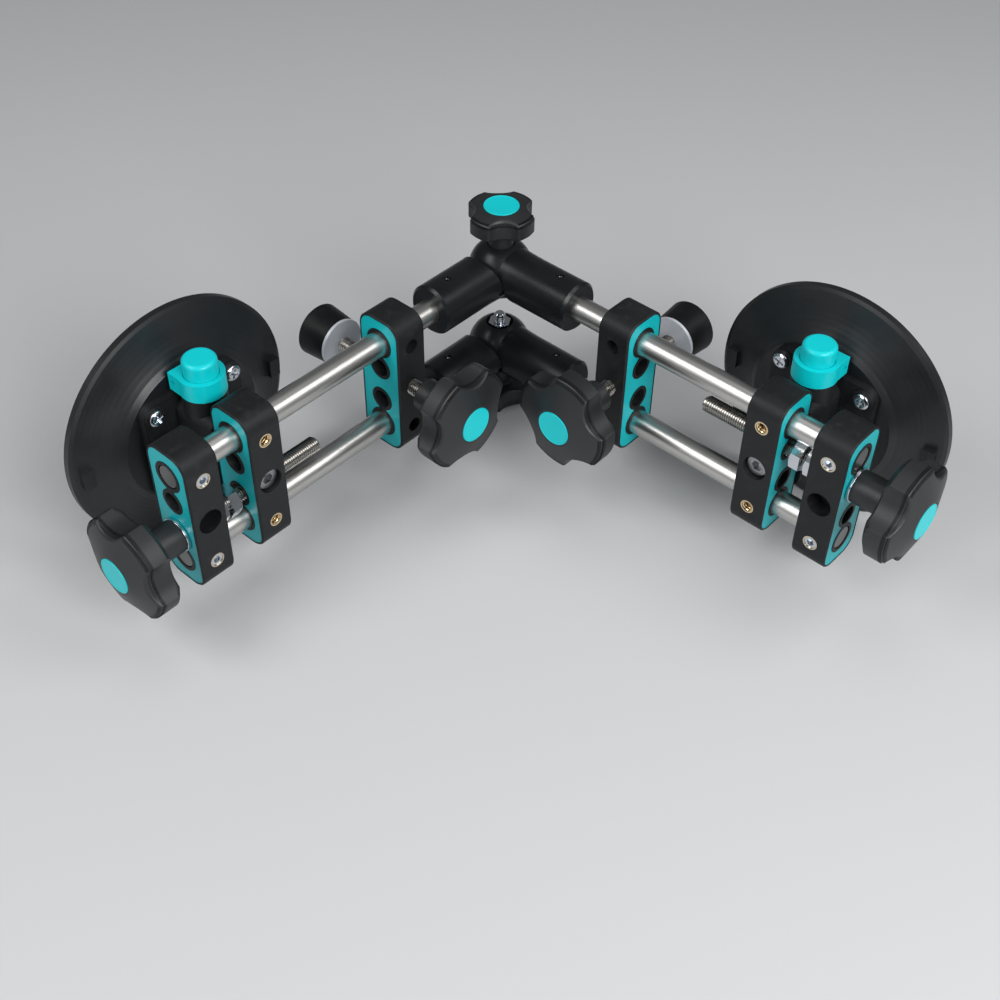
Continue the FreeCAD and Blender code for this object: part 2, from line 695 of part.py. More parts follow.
def make_button(label):
    """Hollow pump button with a stop flange under the collar."""
    body = new_body(label)
    radius, soft = S["button_dia"] / 2, S["button_round"]
    stop = S["barrel_top"]
    low = stop - S["button_flange_high"]
    foot = low - S["button_tail"]
    top = stop + S["collar_high"] + S["button_proud"]
    wide = S["button_flange"] / 2
    sketch = new_sketch(body, "XZ_Plane")
    outline(sketch, [
        (0, top), (0, top - S["button_wall"]), (radius - S["button_wall"], top - S["button_wall"]),
        (radius - S["button_wall"], foot), (radius, foot), (radius, low), (wide, low), (wide, stop),
        (radius, stop), (radius, top - soft), (radius - soft, top, soft, True)])
    revolve(body, sketch, "V_Axis")
    return body


# Screws, nuts, knobs and pads

def make_rods(label):
    """The two guide rods of one arm, bevelled at both ends."""
    rods = []
    for name, z in (("upper", S["rod_half_gap"]), ("lower", -S["rod_half_gap"])):
        rod = doc.addObject("Part::Cylinder", f"{label}_{name}")
        rod.setExpression("Radius", ROD_R.text)
        rod.setExpression("Height", (S["end_out"] + HALF_THICK - S["rod_end_inset"] - S["rod_start"]).text)
        bevel = doc.addObject("Part::Chamfer", f"{label}_{name}_bevel")
        bevel.Base = rod
        doc.recompute()
        bevel.Edges = [(k, S["rod_chamfer"].value, S["rod_chamfer"].value)
                       for k, e in enumerate(rod.Shape.Edges, 1) if e.Closed]
        rods.append((bevel, z))
    return rods


def make_lead_nuts(label):
    """Two jam nuts inside the end block and the thrust washer outside it, on the lead screw."""
    body = new_body(label)
    inner = -HALF_THICK - S["nut_gap"]
    for k in range(2):
        sketch = new_sketch(body, "XY_Plane", inner - k * (S["nut_high"] + S["nut_gap"]))
        hexagon(sketch, as_size(0), as_size(0), S["nut_flats"])
        circle(sketch, 0, 0, SCREW_R)
        pad(body, sketch, S["nut_high"], back=True)
    sketch = new_sketch(body, "XY_Plane", HALF_THICK + S["washer_gap"])
    circle(sketch, 0, 0, S["washer_dia"] / 2)
    circle(sketch, 0, 0, SCREW_R)
    pad(body, sketch, S["washer_thick"])
    return body


def make_knob(label, kind, bore):
    """Four-lobed knob on a boss. Its axis is Z and its cap pocket is at the top."""
    body = new_body(label)
    radius = S[f"{kind}_dia"] / 2
    boss = S[f"{kind}_boss_dia"] / 2
    soft = S[f"{kind}_round"]
    foot = S[f"{kind}_boss_len"]
    heel = foot + S[f"{kind}_back"]
    brow = heel + S[f"{kind}_wall"]
    top = S[f"{kind}_length"]
    cap = S[f"{kind}_cap_dia"] / 2
    sketch = new_sketch(body, "XZ_Plane")
    outline(sketch, [
        (bore, 0), (boss, 0), (boss, foot), (radius - soft, foot), (radius, heel), (radius, brow),
        (radius - soft, brow + soft, soft, True), (cap + 1, top), (cap, top), (cap, top - S["cap_sink"]),
        (0, top - S["cap_sink"]), (0, S[f"{kind}_screw_deep"]), (bore, S[f"{kind}_screw_deep"])])
    revolve(body, sketch, "V_Axis")
    sketch = new_sketch(body, "XY_Plane", foot)
    circle(sketch, S[f"{kind}_flute_out"], 0, S[f"{kind}_flute_dia"] / 2)
    flute = pocket(body, sketch)
    polar(body, flute, LOBES)
    return body


def make_cap(label, kind):
    """Coloured disc seated in a knob's pocket."""
    body = new_body(label)
    sketch = new_sketch(body, "XY_Plane", S[f"{kind}_length"] - S["cap_sink"])
    circle(sketch, 0, 0, S[f"{kind}_cap_dia"] / 2 - S["cap_gap"])
    pad(body, sketch, S["cap_thick"])
    return body


def make_screw(label, length):
    screw = doc.addObject("Part::Cylinder", label)
    screw.Label = label
    screw.setExpression("Radius", SCREW_R.text)
    screw.setExpression("Height", length.text)
    return screw


def make_pad(label):
    body = new_body(label)
    foot, head, edge = S["pad_foot_dia"] / 2, S["pad_head_dia"] / 2, S["pad_edge"]
    sketch = new_sketch(body, "XZ_Plane")
    outline(sketch, [(0, 0), (foot - edge, 0), (foot, edge), (head, S["pad_length"]), (0, S["pad_length"])])
    revolve(body, sketch, "V_Axis")
    return body


def make_pad_plate(label):
    body = new_body(label)
    sketch = new_sketch(body, "XY_Plane", S["pad_length"])
    circle(sketch, 0, 0, S["pad_head_dia"] / 2)
    pad(body, sketch, S["pad_plate_thick"])
    return body


# Hinge

def make_knuckle(label, tap_up, locked):
    """Half ball blended into a rod socket, split on its own centre plane.

    A locked knuckle has a cross hole for the screw that holds the stud.
    """
    body = new_body(label)
    ball, tube = S["ball_dia"] / 2, S["socket_dia"] / 2
    near, far, mouth = S["blend_near"], S["blend_far"], S["socket_out"]
    rise = math.sqrt(ball.value ** 2 - near.value ** 2)
    # The blend arc leaves the ball square to its radius and runs level into the socket.
    drop = rise - tube.value
    reach = far.value - near.value
    sketch = new_sketch(body, "XZ_Plane")
    blend = (drop ** 2 + reach ** 2) / (2 * drop)
    outline(sketch, [
        (-ball, 0), (near, rise, ball, False), (far, tube, blend, True),
        (mouth - S["socket_bevel"], tube), (mouth, tube - S["socket_bevel"]), (mouth, 0)])
    revolve(body, sketch, "H_Axis")
    sketch = new_sketch(body, "XY_Plane", S["knuckle_gap"])
    circle(sketch, 0, -S["knuckle_clear_shift"], S["knuckle_clear"])
    relief = pocket(body, sketch, tube + S["ball_dia"])
    mirror(body, relief, "XZ_Plane")
    sketch = new_sketch(body, "XY_Plane", S["knuckle_floor"])
    circle(sketch, 0, 0, S["knuckle_spot"] / 2)
    pocket(body, sketch, ball, back=True)
    sketch = new_sketch(body, "XY_Plane")
    circle(sketch, 0, 0, STUD_R + S["stud_fit"])
    pocket(body, sketch)
    sketch = new_sketch(body, "YZ_Plane", mouth)
    circle(sketch, 0, 0, ROD_R)
    pocket(body, sketch, mouth - S["rod_start"])
    sketch = new_sketch(body, "XY_Plane")
    circle(sketch, S["socket_tap_out"], 0, S["socket_tap"] / 2)
    pocket(body, sketch, tube + 1, back=tap_up)
    if locked:
        hole = feature(body, "SubtractiveCylinder")
        hole.setExpression("Radius", (S["lock_tap"] / 2).text)
        hole.setExpression("Height", (ball + tube).text)
        drop = S["lock_drop"]
        hole.Placement = FreeCAD.Placement(V(0, 0, drop.value), turn(V(1, 1, 0), 90))
        hole.setExpression("Placement.Base.z", drop.text)
        settle(body, hole, -1)
    return body


def make_hinge_studs(label):
    """The two hinge studs. The upper one ends inside its nut, the lower one stands proud."""
    length = S["knuckle_floor"] * 2 + S["stud_tail"] + S["small_screw_deep"] - S["stud_hidden"]
    studs = []
    upper = S["rod_half_gap"] - S["knuckle_floor"] - S["stud_tail"] + S["stud_hidden"]
    lower = -S["rod_half_gap"] + S["knuckle_floor"] + S["stud_tail"] - length
    for name, z in (("upper", upper), ("lower", lower)):
        stud = doc.addObject("Part::Cylinder", f"{label}_{name}")
        stud.setExpression("Radius", STUD_R.text)
        stud.setExpression("Height", length.text)
        studs.append((stud, z))
    return studs


def make_hinge_nuts(label):
    body = new_body(label)
    seat = S["rod_half_gap"] - S["knuckle_floor"]
    for z, back in ((seat, True), (-seat, False)):
        sketch = new_sketch(body, "XY_Plane", z)
        hexagon(sketch, as_size(0), as_size(0), S["stud_nut_flats"])
        circle(sketch, 0, 0, STUD_R)
        pad(body, sketch, S["stud_nut_high"], back=back)
    return body


# Assembly

nodes = []


def keep(item):
    nodes.append(item)
    return item


def gather(label, pieces):
    """One node from several like pieces."""
    group = doc.addObject("Part::Compound", label)
    group.Label = label
    group.Links = pieces
    return keep(group)


for arm, spec in ARMS.items():
    rods = make_rods(f"{arm}_rods")
    for rod, z in rods:
        put(rod, arm, "along", S["rod_start"], 0, z)
    gather(f"{arm}_rods", [rod for rod, _ in rods])

    for name, maker, u in (("end", make_end_block, S["end_out"]),
                           ("carriage", make_carriage_block, S["carriage_out"]),
                           ("level", make_level_block, spec["level_u"])):
        put(keep(maker(f"{arm}_{name}_block")), arm, "block", u, 0, 0)
        put(keep(make_plates(f"{arm}_{name}_plates")), arm, "block", u, 0, 0)

    ports = [S["port_half_gap"], -S["port_half_gap"]]
    put(keep(make_inserts(f"{arm}_end_inserts", S["front_hole_dia"] / 2, S["set_screw_dia"] / 2, ports)),
        arm, "block", S["end_out"], 0, 0)
    put(keep(make_set_screws(f"{arm}_set_screws")), arm, "block", S["end_out"], 0, 0)
    put(keep(make_inserts(f"{arm}_carriage_inserts", S["tap_hole_dia"] / 2, S["insert_bore"] / 2,
                          [spec["lead_z"]])), arm, "block", S["carriage_out"], 0, 0)
    for name, maker in (("cup_bolt", make_cup_bolt), ("pump_hub", make_hub),
                        ("hub_screws", make_hub_screws)):
        put(keep(maker(f"{arm}_{name}")), arm, "block", S["carriage_out"], 0, 0)
    put(keep(make_collar(f"{arm}_pump_collar", spec["outer"])), arm, "block", S["carriage_out"], 0, 0)
    put(keep(make_button(f"{arm}_pump_button")), arm, "block", S["carriage_out"], PUMP_W, 0)
    cup_spin = 0 if arm == "left" else 90
    put(keep(make_cup(f"{arm}_suction_cup")), arm, "outward", S["carriage_out"], -S["rod_height"], 0,
        cup_spin)

    boss_u = S["end_out"] + HALF_THICK + S["washer_gap"] + S["washer_thick"]
    lead_z = spec["lead_z"]
    put(keep(make_screw(f"{arm}_lead_screw", boss_u + S["big_screw_deep"] - S["lead_start"])),
        arm, "along", S["lead_start"], 0, lead_z)
    put(keep(make_lead_nuts(f"{arm}_lead_nuts")), arm, "along", S["end_out"], 0, lead_z)
    put(keep(make_knob(f"{arm}_lead_knob", "big", SCREW_R)), arm, "along", boss_u, 0, lead_z,
        KNOB_TURNS[f"{arm}_lead"])
    put(keep(make_cap(f"{arm}_lead_knob_cap", "big")), arm, "along", boss_u, 0, lead_z)

    level_u = spec["level_u"]
    foot_w = S["pad_length"] + S["pad_plate_thick"] - S["rod_height"]
    boss_w = HALF_DEPTH + S["level_thread"]
    put(keep(make_pad(f"{arm}_level_pad")), arm, "outward", level_u, -S["rod_height"], 0)
    put(keep(make_pad_plate(f"{arm}_level_pad_plate")), arm, "outward", level_u, -S["rod_height"], 0)
    put(keep(make_screw(f"{arm}_level_stud", boss_w + S["big_screw_deep"] - foot_w)),
        arm, "outward", level_u, foot_w, 0)
    put(keep(make_knob(f"{arm}_level_knob", "big", SCREW_R)), arm, "outward", level_u, boss_w, 0,
        KNOB_TURNS[f"{arm}_level"])
    put(keep(make_cap(f"{arm}_level_knob_cap", "big")), arm, "outward", level_u, boss_w, 0)

    for name, z in (("upper", S["rod_half_gap"]), ("lower", -S["rod_half_gap"])):
        knuckle = make_knuckle(f"{arm}_{name}_knuckle", spec["dome"] > 0, arm == "left")
        put(keep(knuckle), arm, "knuckle", 0, 0, z)

studs = make_hinge_studs("hinge_studs")
for stud, z in studs:
    put(stud, "right", "knuckle", 0, 0, z)
gather("hinge_studs", [stud for stud, _ in studs])
put(keep(make_hinge_nuts("hinge_nuts")), "right", "knuckle", 0, 0, 0)
knob_z = S["rod_half_gap"] + S["knuckle_floor"]
for name, z in (("upper", knob_z), ("lower", -knob_z)):
    flip = turn(X_AXIS, 0) if name == "upper" else turn(X_AXIS, 180)
    for piece in (make_knob(f"{name}_clamp_knob", "small", STUD_R + S["stud_fit"]),
                  make_cap(f"{name}_clamp_cap", "small")):
        put(keep(piece), "right", "knuckle", 0, 0, z)
        spin = turn(Z_AXIS, KNOB_TURNS[f"{name}_clamp"])
        piece.Placement = FreeCAD.Placement(piece.Placement.Base, flip * spin)

doc.recompute()

for item in doc.Objects:
    if "Invalid" in item.State or "Error" in item.State:
        raise RuntimeError(f"{item.Name} did not compute: {item.State}")
for item in nodes:
    if item.Shape.isNull() or not item.Shape.isValid():
        raise RuntimeError(f"{item.Label} has no valid shape")

os.makedirs("parts", exist_ok=True)
for item in nodes:
    item.Shape.exportStep(f"parts/{item.Label}.step")
print(len(nodes), "parts written")
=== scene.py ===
import math
from collections import namedtuple

import bmesh
import bpy
from bpy.props import FloatProperty, FloatVectorProperty, IntProperty, PointerProperty
from bpy.types import Operator, Panel, PropertyGroup
from mathutils import Matrix, Vector


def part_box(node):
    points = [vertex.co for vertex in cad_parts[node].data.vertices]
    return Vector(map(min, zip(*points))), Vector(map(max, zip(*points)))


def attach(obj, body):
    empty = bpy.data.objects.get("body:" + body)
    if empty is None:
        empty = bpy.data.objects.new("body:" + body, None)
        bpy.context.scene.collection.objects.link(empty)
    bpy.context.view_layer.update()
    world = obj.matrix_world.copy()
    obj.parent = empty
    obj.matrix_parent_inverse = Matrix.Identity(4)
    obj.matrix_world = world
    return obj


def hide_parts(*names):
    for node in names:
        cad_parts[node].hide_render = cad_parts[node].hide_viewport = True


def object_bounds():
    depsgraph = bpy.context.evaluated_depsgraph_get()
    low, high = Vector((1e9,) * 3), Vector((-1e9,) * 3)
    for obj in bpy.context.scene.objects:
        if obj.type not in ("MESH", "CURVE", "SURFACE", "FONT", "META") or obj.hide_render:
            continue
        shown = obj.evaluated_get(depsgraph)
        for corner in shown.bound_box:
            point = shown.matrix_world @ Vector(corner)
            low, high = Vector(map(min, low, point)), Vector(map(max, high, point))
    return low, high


bl_info = {
    "name": "Corner seam setter",
    "version": (1, 0, 0),
    "blender": (4, 5, 0),
    "location": "3D View > Sidebar > Seam setter",
    "description": "Dresses the corner seam setter: knobs, threads, fasteners, finishes and a plain stage",
    "category": "Object",
}

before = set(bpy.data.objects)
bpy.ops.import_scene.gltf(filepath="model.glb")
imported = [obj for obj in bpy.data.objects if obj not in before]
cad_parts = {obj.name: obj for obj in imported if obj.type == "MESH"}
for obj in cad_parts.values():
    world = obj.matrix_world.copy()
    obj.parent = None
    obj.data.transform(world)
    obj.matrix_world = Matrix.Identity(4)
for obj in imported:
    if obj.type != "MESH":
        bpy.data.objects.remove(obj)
CAD_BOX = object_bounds()

ARMS = ("left", "right")
MM = 0.001
QUARTER = math.radians(90)
# Points nearer than the first are welded, edges shorter than the second are dissolved
WELD = 2e-6
SLIVER = 1e-6
# Turns that carry a piece's own Z along an arm, or outward from the slab, as the solids are placed
ALONG = {"left": Matrix.Rotation(QUARTER, 4, "X"), "right": Matrix.Rotation(QUARTER, 4, "Y")}
OUTWARD = {"left": Matrix.Rotation(QUARTER, 4, "Y"), "right": Matrix.Rotation(QUARTER, 4, "X")}
UPWARD = Matrix.Identity(4)
DOWNWARD = Matrix.Rotation(math.pi, 4, "X")


def length(name, description, mm):
    return FloatProperty(name=name, description=description, default=mm * MM, min=0.0, unit="LENGTH")


def colour(name, description, default):
    return FloatVectorProperty(name=name, description=description, default=(*default, 1.0), size=4,
                               min=0.0, max=1.0, subtype="COLOR")


def knob_turn(knob, degrees):
    return FloatProperty(name=f"{knob} turn", description=f"Turn of the {knob.lower()} knob",
                         default=math.radians(degrees), unit="ROTATION")


class SeamSetterSizes(PropertyGroup):
    """Sizes of the pieces that are drawn over the solids."""

    thread_pitch: length("Thread pitch", "Pitch of the lead and levelling screws", 1.5)
    thread_depth: length("Thread depth", "Crest to root of the lead and levelling screws", 0.9)
    stud_pitch: length("Stud pitch", "Pitch of the hinge studs", 1.25)
    stud_depth: length("Stud thread depth", "Crest to root of the hinge studs", 0.75)
    stud_length: length("Stud length", "Length of one hinge stud", 55.5)
    stud_radius: length("Stud radius", "Outside radius of a hinge stud", 4.0)
    thread_bevel: length("Thread end bevel", "Bevel at a threaded end", 0.7)
    thread_sides: IntProperty(name="Thread sides", description="Facets round a thread", default=28, min=8)
    big_flute_radius: length("Large flute radius", "Radius of a large knob's flute", 17.5)
    big_flute_centre: length("Large flute centre", "Large knob axis to flute centre", 41.1)
    small_flute_radius: length("Small flute radius", "Radius of a clamp knob's flute", 12.6)
    small_flute_centre: length("Small flute centre", "Clamp knob axis to flute centre", 28.4)
    lobe_round: length("Lobe rounding", "Rounding of the edges between lobe and flute", 1.3)
    lobes: IntProperty(name="Lobes", description="Lobes of a knob", default=4, min=3)
    left_level_turn: knob_turn("Left level", 81)
    right_level_turn: knob_turn("Right level", 32)
    left_lead_turn: knob_turn("Left lead", 10)
    right_lead_turn: knob_turn("Right lead", 56)
    upper_clamp_turn: knob_turn("Upper clamp", 46)
    lower_clamp_turn: knob_turn("Lower clamp", 20)
    cap_rim: length("Cap rim", "Raised border of a cap disc", 0.7)
    nut_flats: length("Jam nut flats", "Jam nut across flats", 17.0)
    nut_height: length("Jam nut height", "Height of a jam nut", 9.0)
    hinge_nut_flats: length("Hinge nut flats", "Hinge nut across flats", 13.0)
    hinge_nut_height: length("Hinge nut height", "Height of a hinge nut", 6.0)
    washer_thick: length("Washer thickness", "Thrust washer", 1.8)
    head_radius: length("Hub screw head", "Radius of a hub screw's pan head", 5.0)
    head_height: length("Hub screw head height", "Height of a hub screw's pan head", 2.8)
    cross_width: length("Cross recess width", "Width of the hub screw's cross recess", 1.5)
    cross_reach: length("Cross recess reach", "Reach of the hub screw's cross recess", 3.1)
    cross_depth: length("Cross recess depth", "Depth of the hub screw's cross recess", 1.9)
    socket_screw_radius: length("Socket set screw", "Radius of the rod sockets' set screws", 2.2)
    socket_screw_sink: length("Socket set screw sink", "Set screw below the socket's top", 1.4)
    socket_screw_out: length("Socket set screw place", "Hinge axis to the socket's set screw", 48.0)
    lock_screw_out: length("Lock screw place", "Hinge axis to the face of a stud's lock screw", 18.8)
    lock_screw_drop: length("Lock screw drop", "Lock screw below the hinge's split", 4.5)
    rod_half_gap: length("Rod half gap", "Rod axis above and below the middle plane", 30.0)
    insert_pitch: length("Insert pitch", "Pitch of the thread in the carriage inserts", 1.25)
    insert_length: length("Insert length", "Length of the thread in the carriage inserts", 6.4)
    insert_radius: length("Insert bore radius", "Bore of the carriage inserts", 3.4)


class SeamSetterFinishes(PropertyGroup):
    """Colours of the finishes."""

    block_black: colour("Block black", "Moulded blocks and hubs", (0.0085, 0.0090, 0.0100))
    # Painted light: the knobs' black is the block black made lighter, for the light on the knobs' faces.
    knob_black: colour("Knob black", "Knobs", (0.0140, 0.0147, 0.0162))
    # Painted shade: the hinge's black is the block black made darker, for the shade on the knuckles' rounded
    # sides.
    hinge_black: colour("Hinge black", "Hinge knuckles", (0.0065, 0.0070, 0.0082))
    rubber_black: colour("Rubber black", "Suction cups", (0.0095, 0.0105, 0.0125))
    # Painted shade: the pads' black is darker than the cups' rubber, for the shade the pads sit in.
    shaded_pad_black: colour("Pad black", "Levelling pads", (0.0050, 0.0054, 0.0060))
    scuff_grey: colour("Scuff grey", "Light rub marks on black mouldings", (0.030, 0.032, 0.035))
    teal: colour("Teal moulding", "Buttons, collars and cap discs", (0.002, 0.560, 0.600))
    # Painted shade: the inlay plates' teal is the teal moulding's colour made darker, for the shade on the
    # plates.
    teal_plate: colour("Teal plate", "Inlay plates", (0.002, 0.440, 0.480))
    ground_steel: colour("Ground steel", "Guide rods", (0.58, 0.57, 0.55))
    # Painted shade: the rods' end faces get this darker grey in place of the darker reflection they show.
    rod_end_shade: colour("Rod end", "Sawn ends of the guide rods", (0.19, 0.19, 0.19))
    screw_steel: colour("Screw steel", "Lead and levelling screws", (0.47, 0.455, 0.43))
    bolt_steel: colour("Bolt steel", "Cup bolts", (0.36, 0.37, 0.385))
    zinc: colour("Zinc plate", "Nuts and small screws", (0.66, 0.69, 0.73))
    # Painted shade: the rod sockets' set screws and the lock screws are this dark grey to match the dark
    # holes they sit in.
    dark_screw: colour("Dark screw", "Oxide-black set screws", (0.16, 0.16, 0.17))
    pad_plate: colour("Pad plate", "Plates under the levelling pads", (0.74, 0.78, 0.84))
    brass: colour("Brass", "Carriage inserts", (0.76, 0.61, 0.40))
    pale_brass: colour("Pale brass", "End block inserts and bushes", (0.66, 0.58, 0.45))
    floor_grey: colour("Floor grey", "Plain pale floor", (0.56, 0.565, 0.575))


def sizes():
    return bpy.context.scene.seam_setter_sizes


def finishes():
    return bpy.context.scene.seam_setter_finishes


class Nodes:
    """Adds nodes to a tree and joins their sockets."""

    def __init__(self, tree):
        self.tree = tree

    def add(self, kind, wires=None, **settings):
        node = self.tree.nodes.new(kind)
        for key, value in settings.items():
            setattr(node, key, value)
        for key, value in (wires or {}).items():
            self.feed(node.inputs[key], value)
        return node

    def out(self, kind, wires=None, **settings):
        """A new node's first output."""
        return self.add(kind, wires, **settings).outputs[0]

    def feed(self, socket, value):
        if isinstance(value, bpy.types.NodeSocket):
            self.tree.links.new(value, socket)
        else:
            socket.default_value = value

    def math(self, operation, *values):
        node = self.add("ShaderNodeMath", operation=operation)
        for socket, value in zip(node.inputs, values):
            self.feed(socket, value)
        return node.outputs[0]

    def plus(self, *values):
        return self.math("ADD", *values)

    def minus(self, *values):
        return self.math("SUBTRACT", *values)

    def times(self, *values):
        return self.math("MULTIPLY", *values)

    def over(self, *values):
        return self.math("DIVIDE", *values)


# Finishes

class Finish(Nodes):
    """A procedural material on Object coordinates."""

    def __init__(self, name, **constants):
        self.material = bpy.data.materials.new(name)
        self.material.use_nodes = True
        super().__init__(self.material.node_tree)
        self.tree.nodes.clear()
        self.shader = self.add("ShaderNodeBsdfPrincipled")
        self.add("ShaderNodeOutputMaterial", {"Surface": self.shader.outputs[0]})
        coordinates = self.add("ShaderNodeTexCoord").outputs
        self.place, self.facing = coordinates["Object"], coordinates["Normal"]
        for socket, value in constants.items():
            self.shader.inputs[socket.replace("_", " ")].default_value = value

    def stretched(self, centre=(0, 0, 0), scale=(1, 1, 1)):
        """Object coordinates centred on a point and stretched."""
        moved = self.out("ShaderNodeVectorMath", {0: self.place, 1: centre}, operation="SUBTRACT")
        return self.out("ShaderNodeVectorMath", {0: moved, 1: scale}, operation="MULTIPLY")

    def noise(self, scale, detail=3.0, roughness=0.5, place=None):
        wires = {"Vector": place or self.place, "Scale": scale, "Detail": detail, "Roughness": roughness}
        return self.add("ShaderNodeTexNoise", wires).outputs["Fac"]

    def span(self, value, low, high, start=0.3, end=0.7):
        return self.out("ShaderNodeMapRange", {"Value": value, "From Min": start, "From Max": end,
                                               "To Min": low, "To Max": high})

    def blend(self, factor, first, second):
        mix = self.add("ShaderNodeMix", data_type="RGBA")
        self.feed(mix.inputs[0], factor)
        self.feed(mix.inputs[6], first)
        self.feed(mix.inputs[7], second)
        return mix.outputs[2]

    def bump(self, height, distance, strength, under=None):
        wires = {"Height": height, "Distance": distance, "Strength": strength}
        if under is not None:
            wires["Normal"] = under
        return self.out("ShaderNodeBump", wires)

    def surface(self, base, roughness, normal=None):
        for socket, value in (("Base Color", base), ("Roughness", roughness), ("Normal", normal)):
            if value is not None:
                self.feed(self.shader.inputs[socket], value)
        return self.material


def darker(base, share):
    return [share * part for part in base[:3]] + [1.0]


def moulded_black(name, base, index, smooth, rough, grain, scuffs):
    """Satin black moulding with a fine spark grain, broad sheen changes and light rub marks."""
    made = Finish(name, IOR=index)
    rubs = made.span(made.noise(150, detail=9, roughness=0.72), 0.0, scuffs, start=0.52, end=0.74)
    cloud = made.noise(35)
    tone = made.blend(made.span(cloud, 0.0, 0.18), base, finishes().scuff_grey)
    tone = made.blend(rubs, tone, finishes().scuff_grey)
    sheen = made.plus(made.span(cloud, smooth, rough), made.times(rubs, 0.25))
    fine = made.bump(made.noise(2200, detail=2), distance=0.12 * MM, strength=grain)
    broad = made.bump(made.noise(90, detail=2), distance=0.4 * MM, strength=0.12, under=fine)
    return made.surface(tone, sheen, broad)


def cup_rubber(name, centre, rings):
    """Black rubber with faint turned rings, dust in patches and a soft sheen."""
    made = Finish(name, IOR=1.48)
    ring = made.add("ShaderNodeTexWave", {
        "Vector": made.stretched(centre), "Scale": 95.0, "Distortion": 0.6, "Detail": 2.0,
        "Detail Scale": 1.5}, wave_type="RINGS", rings_direction=rings, wave_profile="SIN").outputs["Fac"]
    dust = made.span(made.noise(26, detail=7, roughness=0.66), 0.0, 0.35, start=0.50, end=0.80)
    tone = made.blend(dust, finishes().rubber_black, finishes().scuff_grey)
    sheen = made.plus(made.span(made.noise(12, detail=2), 0.32, 0.42), made.times(dust, 0.2))
    fine = made.bump(made.noise(1500), distance=0.1 * MM, strength=0.16)
    return made.surface(tone, sheen, made.bump(ring, distance=0.25 * MM, strength=0.10, under=fine))


def pad_rubber(name):
    """Dull black rubber with a little dust, in a darker black that is painted shade on the pads."""
    made = Finish(name, IOR=1.30)
    dust = made.span(made.noise(120, detail=6, roughness=0.6), 0.0, 0.3, start=0.5, end=0.85)
    tone = made.blend(dust, finishes().shaded_pad_black, finishes().scuff_grey)
    sheen = made.span(dust, 0.42, 0.6, start=0.0, end=0.3)
    return made.surface(tone, sheen, made.bump(made.noise(1400), distance=0.1 * MM, strength=0.2))


def teal_moulding(name, base, smooth, rough):
    """Coloured plastic with slow changes of tone and sheen."""
    made = Finish(name, IOR=1.42)
    cloud = made.span(made.noise(24, detail=2), 0.0, 0.6, start=0.35, end=0.75)
    tone = made.blend(cloud, base, darker(base, 0.90))
    sheen = made.span(made.noise(40), smooth, rough)
    grain = made.bump(made.noise(1800, detail=2), distance=0.08 * MM, strength=0.10)
    return made.surface(tone, sheen, grain)


def drawn_steel(name, streak, along):
    """Satin ground bar: faint streaks along the bar, faint stains, and end faces in a darker grey as painted
    shade.
    """
    made = Finish(name, Metallic=1.0)
    lines = made.noise(1.0, place=made.stretched(scale=streak))
    stain = made.noise(30)
    base = finishes().ground_steel
    tone = made.blend(made.span(stain, 0.0, 0.7, start=0.35, end=0.75), base, darker(base, 0.90))
    # Painted shade: faces that look along the bar, its end faces, are blended to the darker rod-end grey.
    lean = made.math("ABSOLUTE", made.add("ShaderNodeSeparateXYZ", {0: made.facing}).outputs[along])
    tone = made.blend(made.span(lean, 0.0, 1.0, start=0.6, end=0.9), tone, finishes().rod_end_shade)
    sheen = made.plus(made.span(lines, 0.30, 0.34), made.span(stain, 0.0, 0.04, start=0.4, end=0.8))
    return made.surface(tone, sheen)


def plated_steel(name, base, smooth, rough, metal=1.0):
    """Plated or turned metal with cloudy tone and sheen."""
    made = Finish(name, Metallic=metal)
    cloud = made.span(made.noise(90), 0.0, 0.5, start=0.35, end=0.75)
    tone = made.blend(cloud, base, darker(base, 0.84))
    return made.surface(tone, made.span(made.noise(160), smooth, rough))


FINISH = {}
CUP_CENTRE = {"left": (0.0, 0.0, 0.0), "right": (0.274, 0.274, 0.0)}
# Scale of the rods' streaks across and along the bar
FINE, LONG = 1400.0, 9.0


def make_finishes():
    look = finishes()
    FINISH.update(
        block=moulded_black("block_black", look.block_black, index=1.33, smooth=0.42, rough=0.54,
                            grain=0.16, scuffs=0.60),
        # Painted light on the knobs and painted shade on the hinge: their blacks are lighter and darker
        # copies of the block black.
        knob=moulded_black("knob_black", look.knob_black, index=1.48, smooth=0.40, rough=0.48,
                           grain=0.20, scuffs=0.15),
        hinge=moulded_black("hinge_black", look.hinge_black, index=1.34, smooth=0.27, rough=0.34,
                            grain=0.06, scuffs=0.10),
        left_cup=cup_rubber("left_cup_rubber", CUP_CENTRE["left"], "X"),
        right_cup=cup_rubber("right_cup_rubber", CUP_CENTRE["right"], "Y"),
        pad=pad_rubber("pad_rubber"),
        teal=teal_moulding("teal_moulding", look.teal, smooth=0.30, rough=0.36),
        # Painted shade: the plates' teal is a darker copy of the teal moulding.
        plate=teal_moulding("teal_plate", look.teal_plate, smooth=0.34, rough=0.42),
        left_rods=drawn_steel("left_rod_steel", (FINE, LONG, FINE), "Y"),
        right_rods=drawn_steel("right_rod_steel", (LONG, FINE, FINE), "X"),
        screw=plated_steel("screw_steel", look.screw_steel, smooth=0.22, rough=0.28),
        bolt=plated_steel("bolt_steel", look.bolt_steel, smooth=0.30, rough=0.36),
        zinc=plated_steel("zinc_plate", look.zinc, smooth=0.14, rough=0.22),
        # Painted shade: the set screws are dark to match the dark holes they sit in.
        dark_screw=plated_steel("oxide_screw", look.dark_screw, smooth=0.26, rough=0.36),
        pad_plate=plated_steel("pad_plate_zinc", look.pad_plate, smooth=0.40, rough=0.48, metal=0.45),
        brass=plated_steel("turned_brass", look.brass, smooth=0.20, rough=0.30),
        pale_brass=plated_steel("pale_brass", look.pale_brass, smooth=0.22, rough=0.32),
    )


# Node trees for pieces that repeat or follow a rule

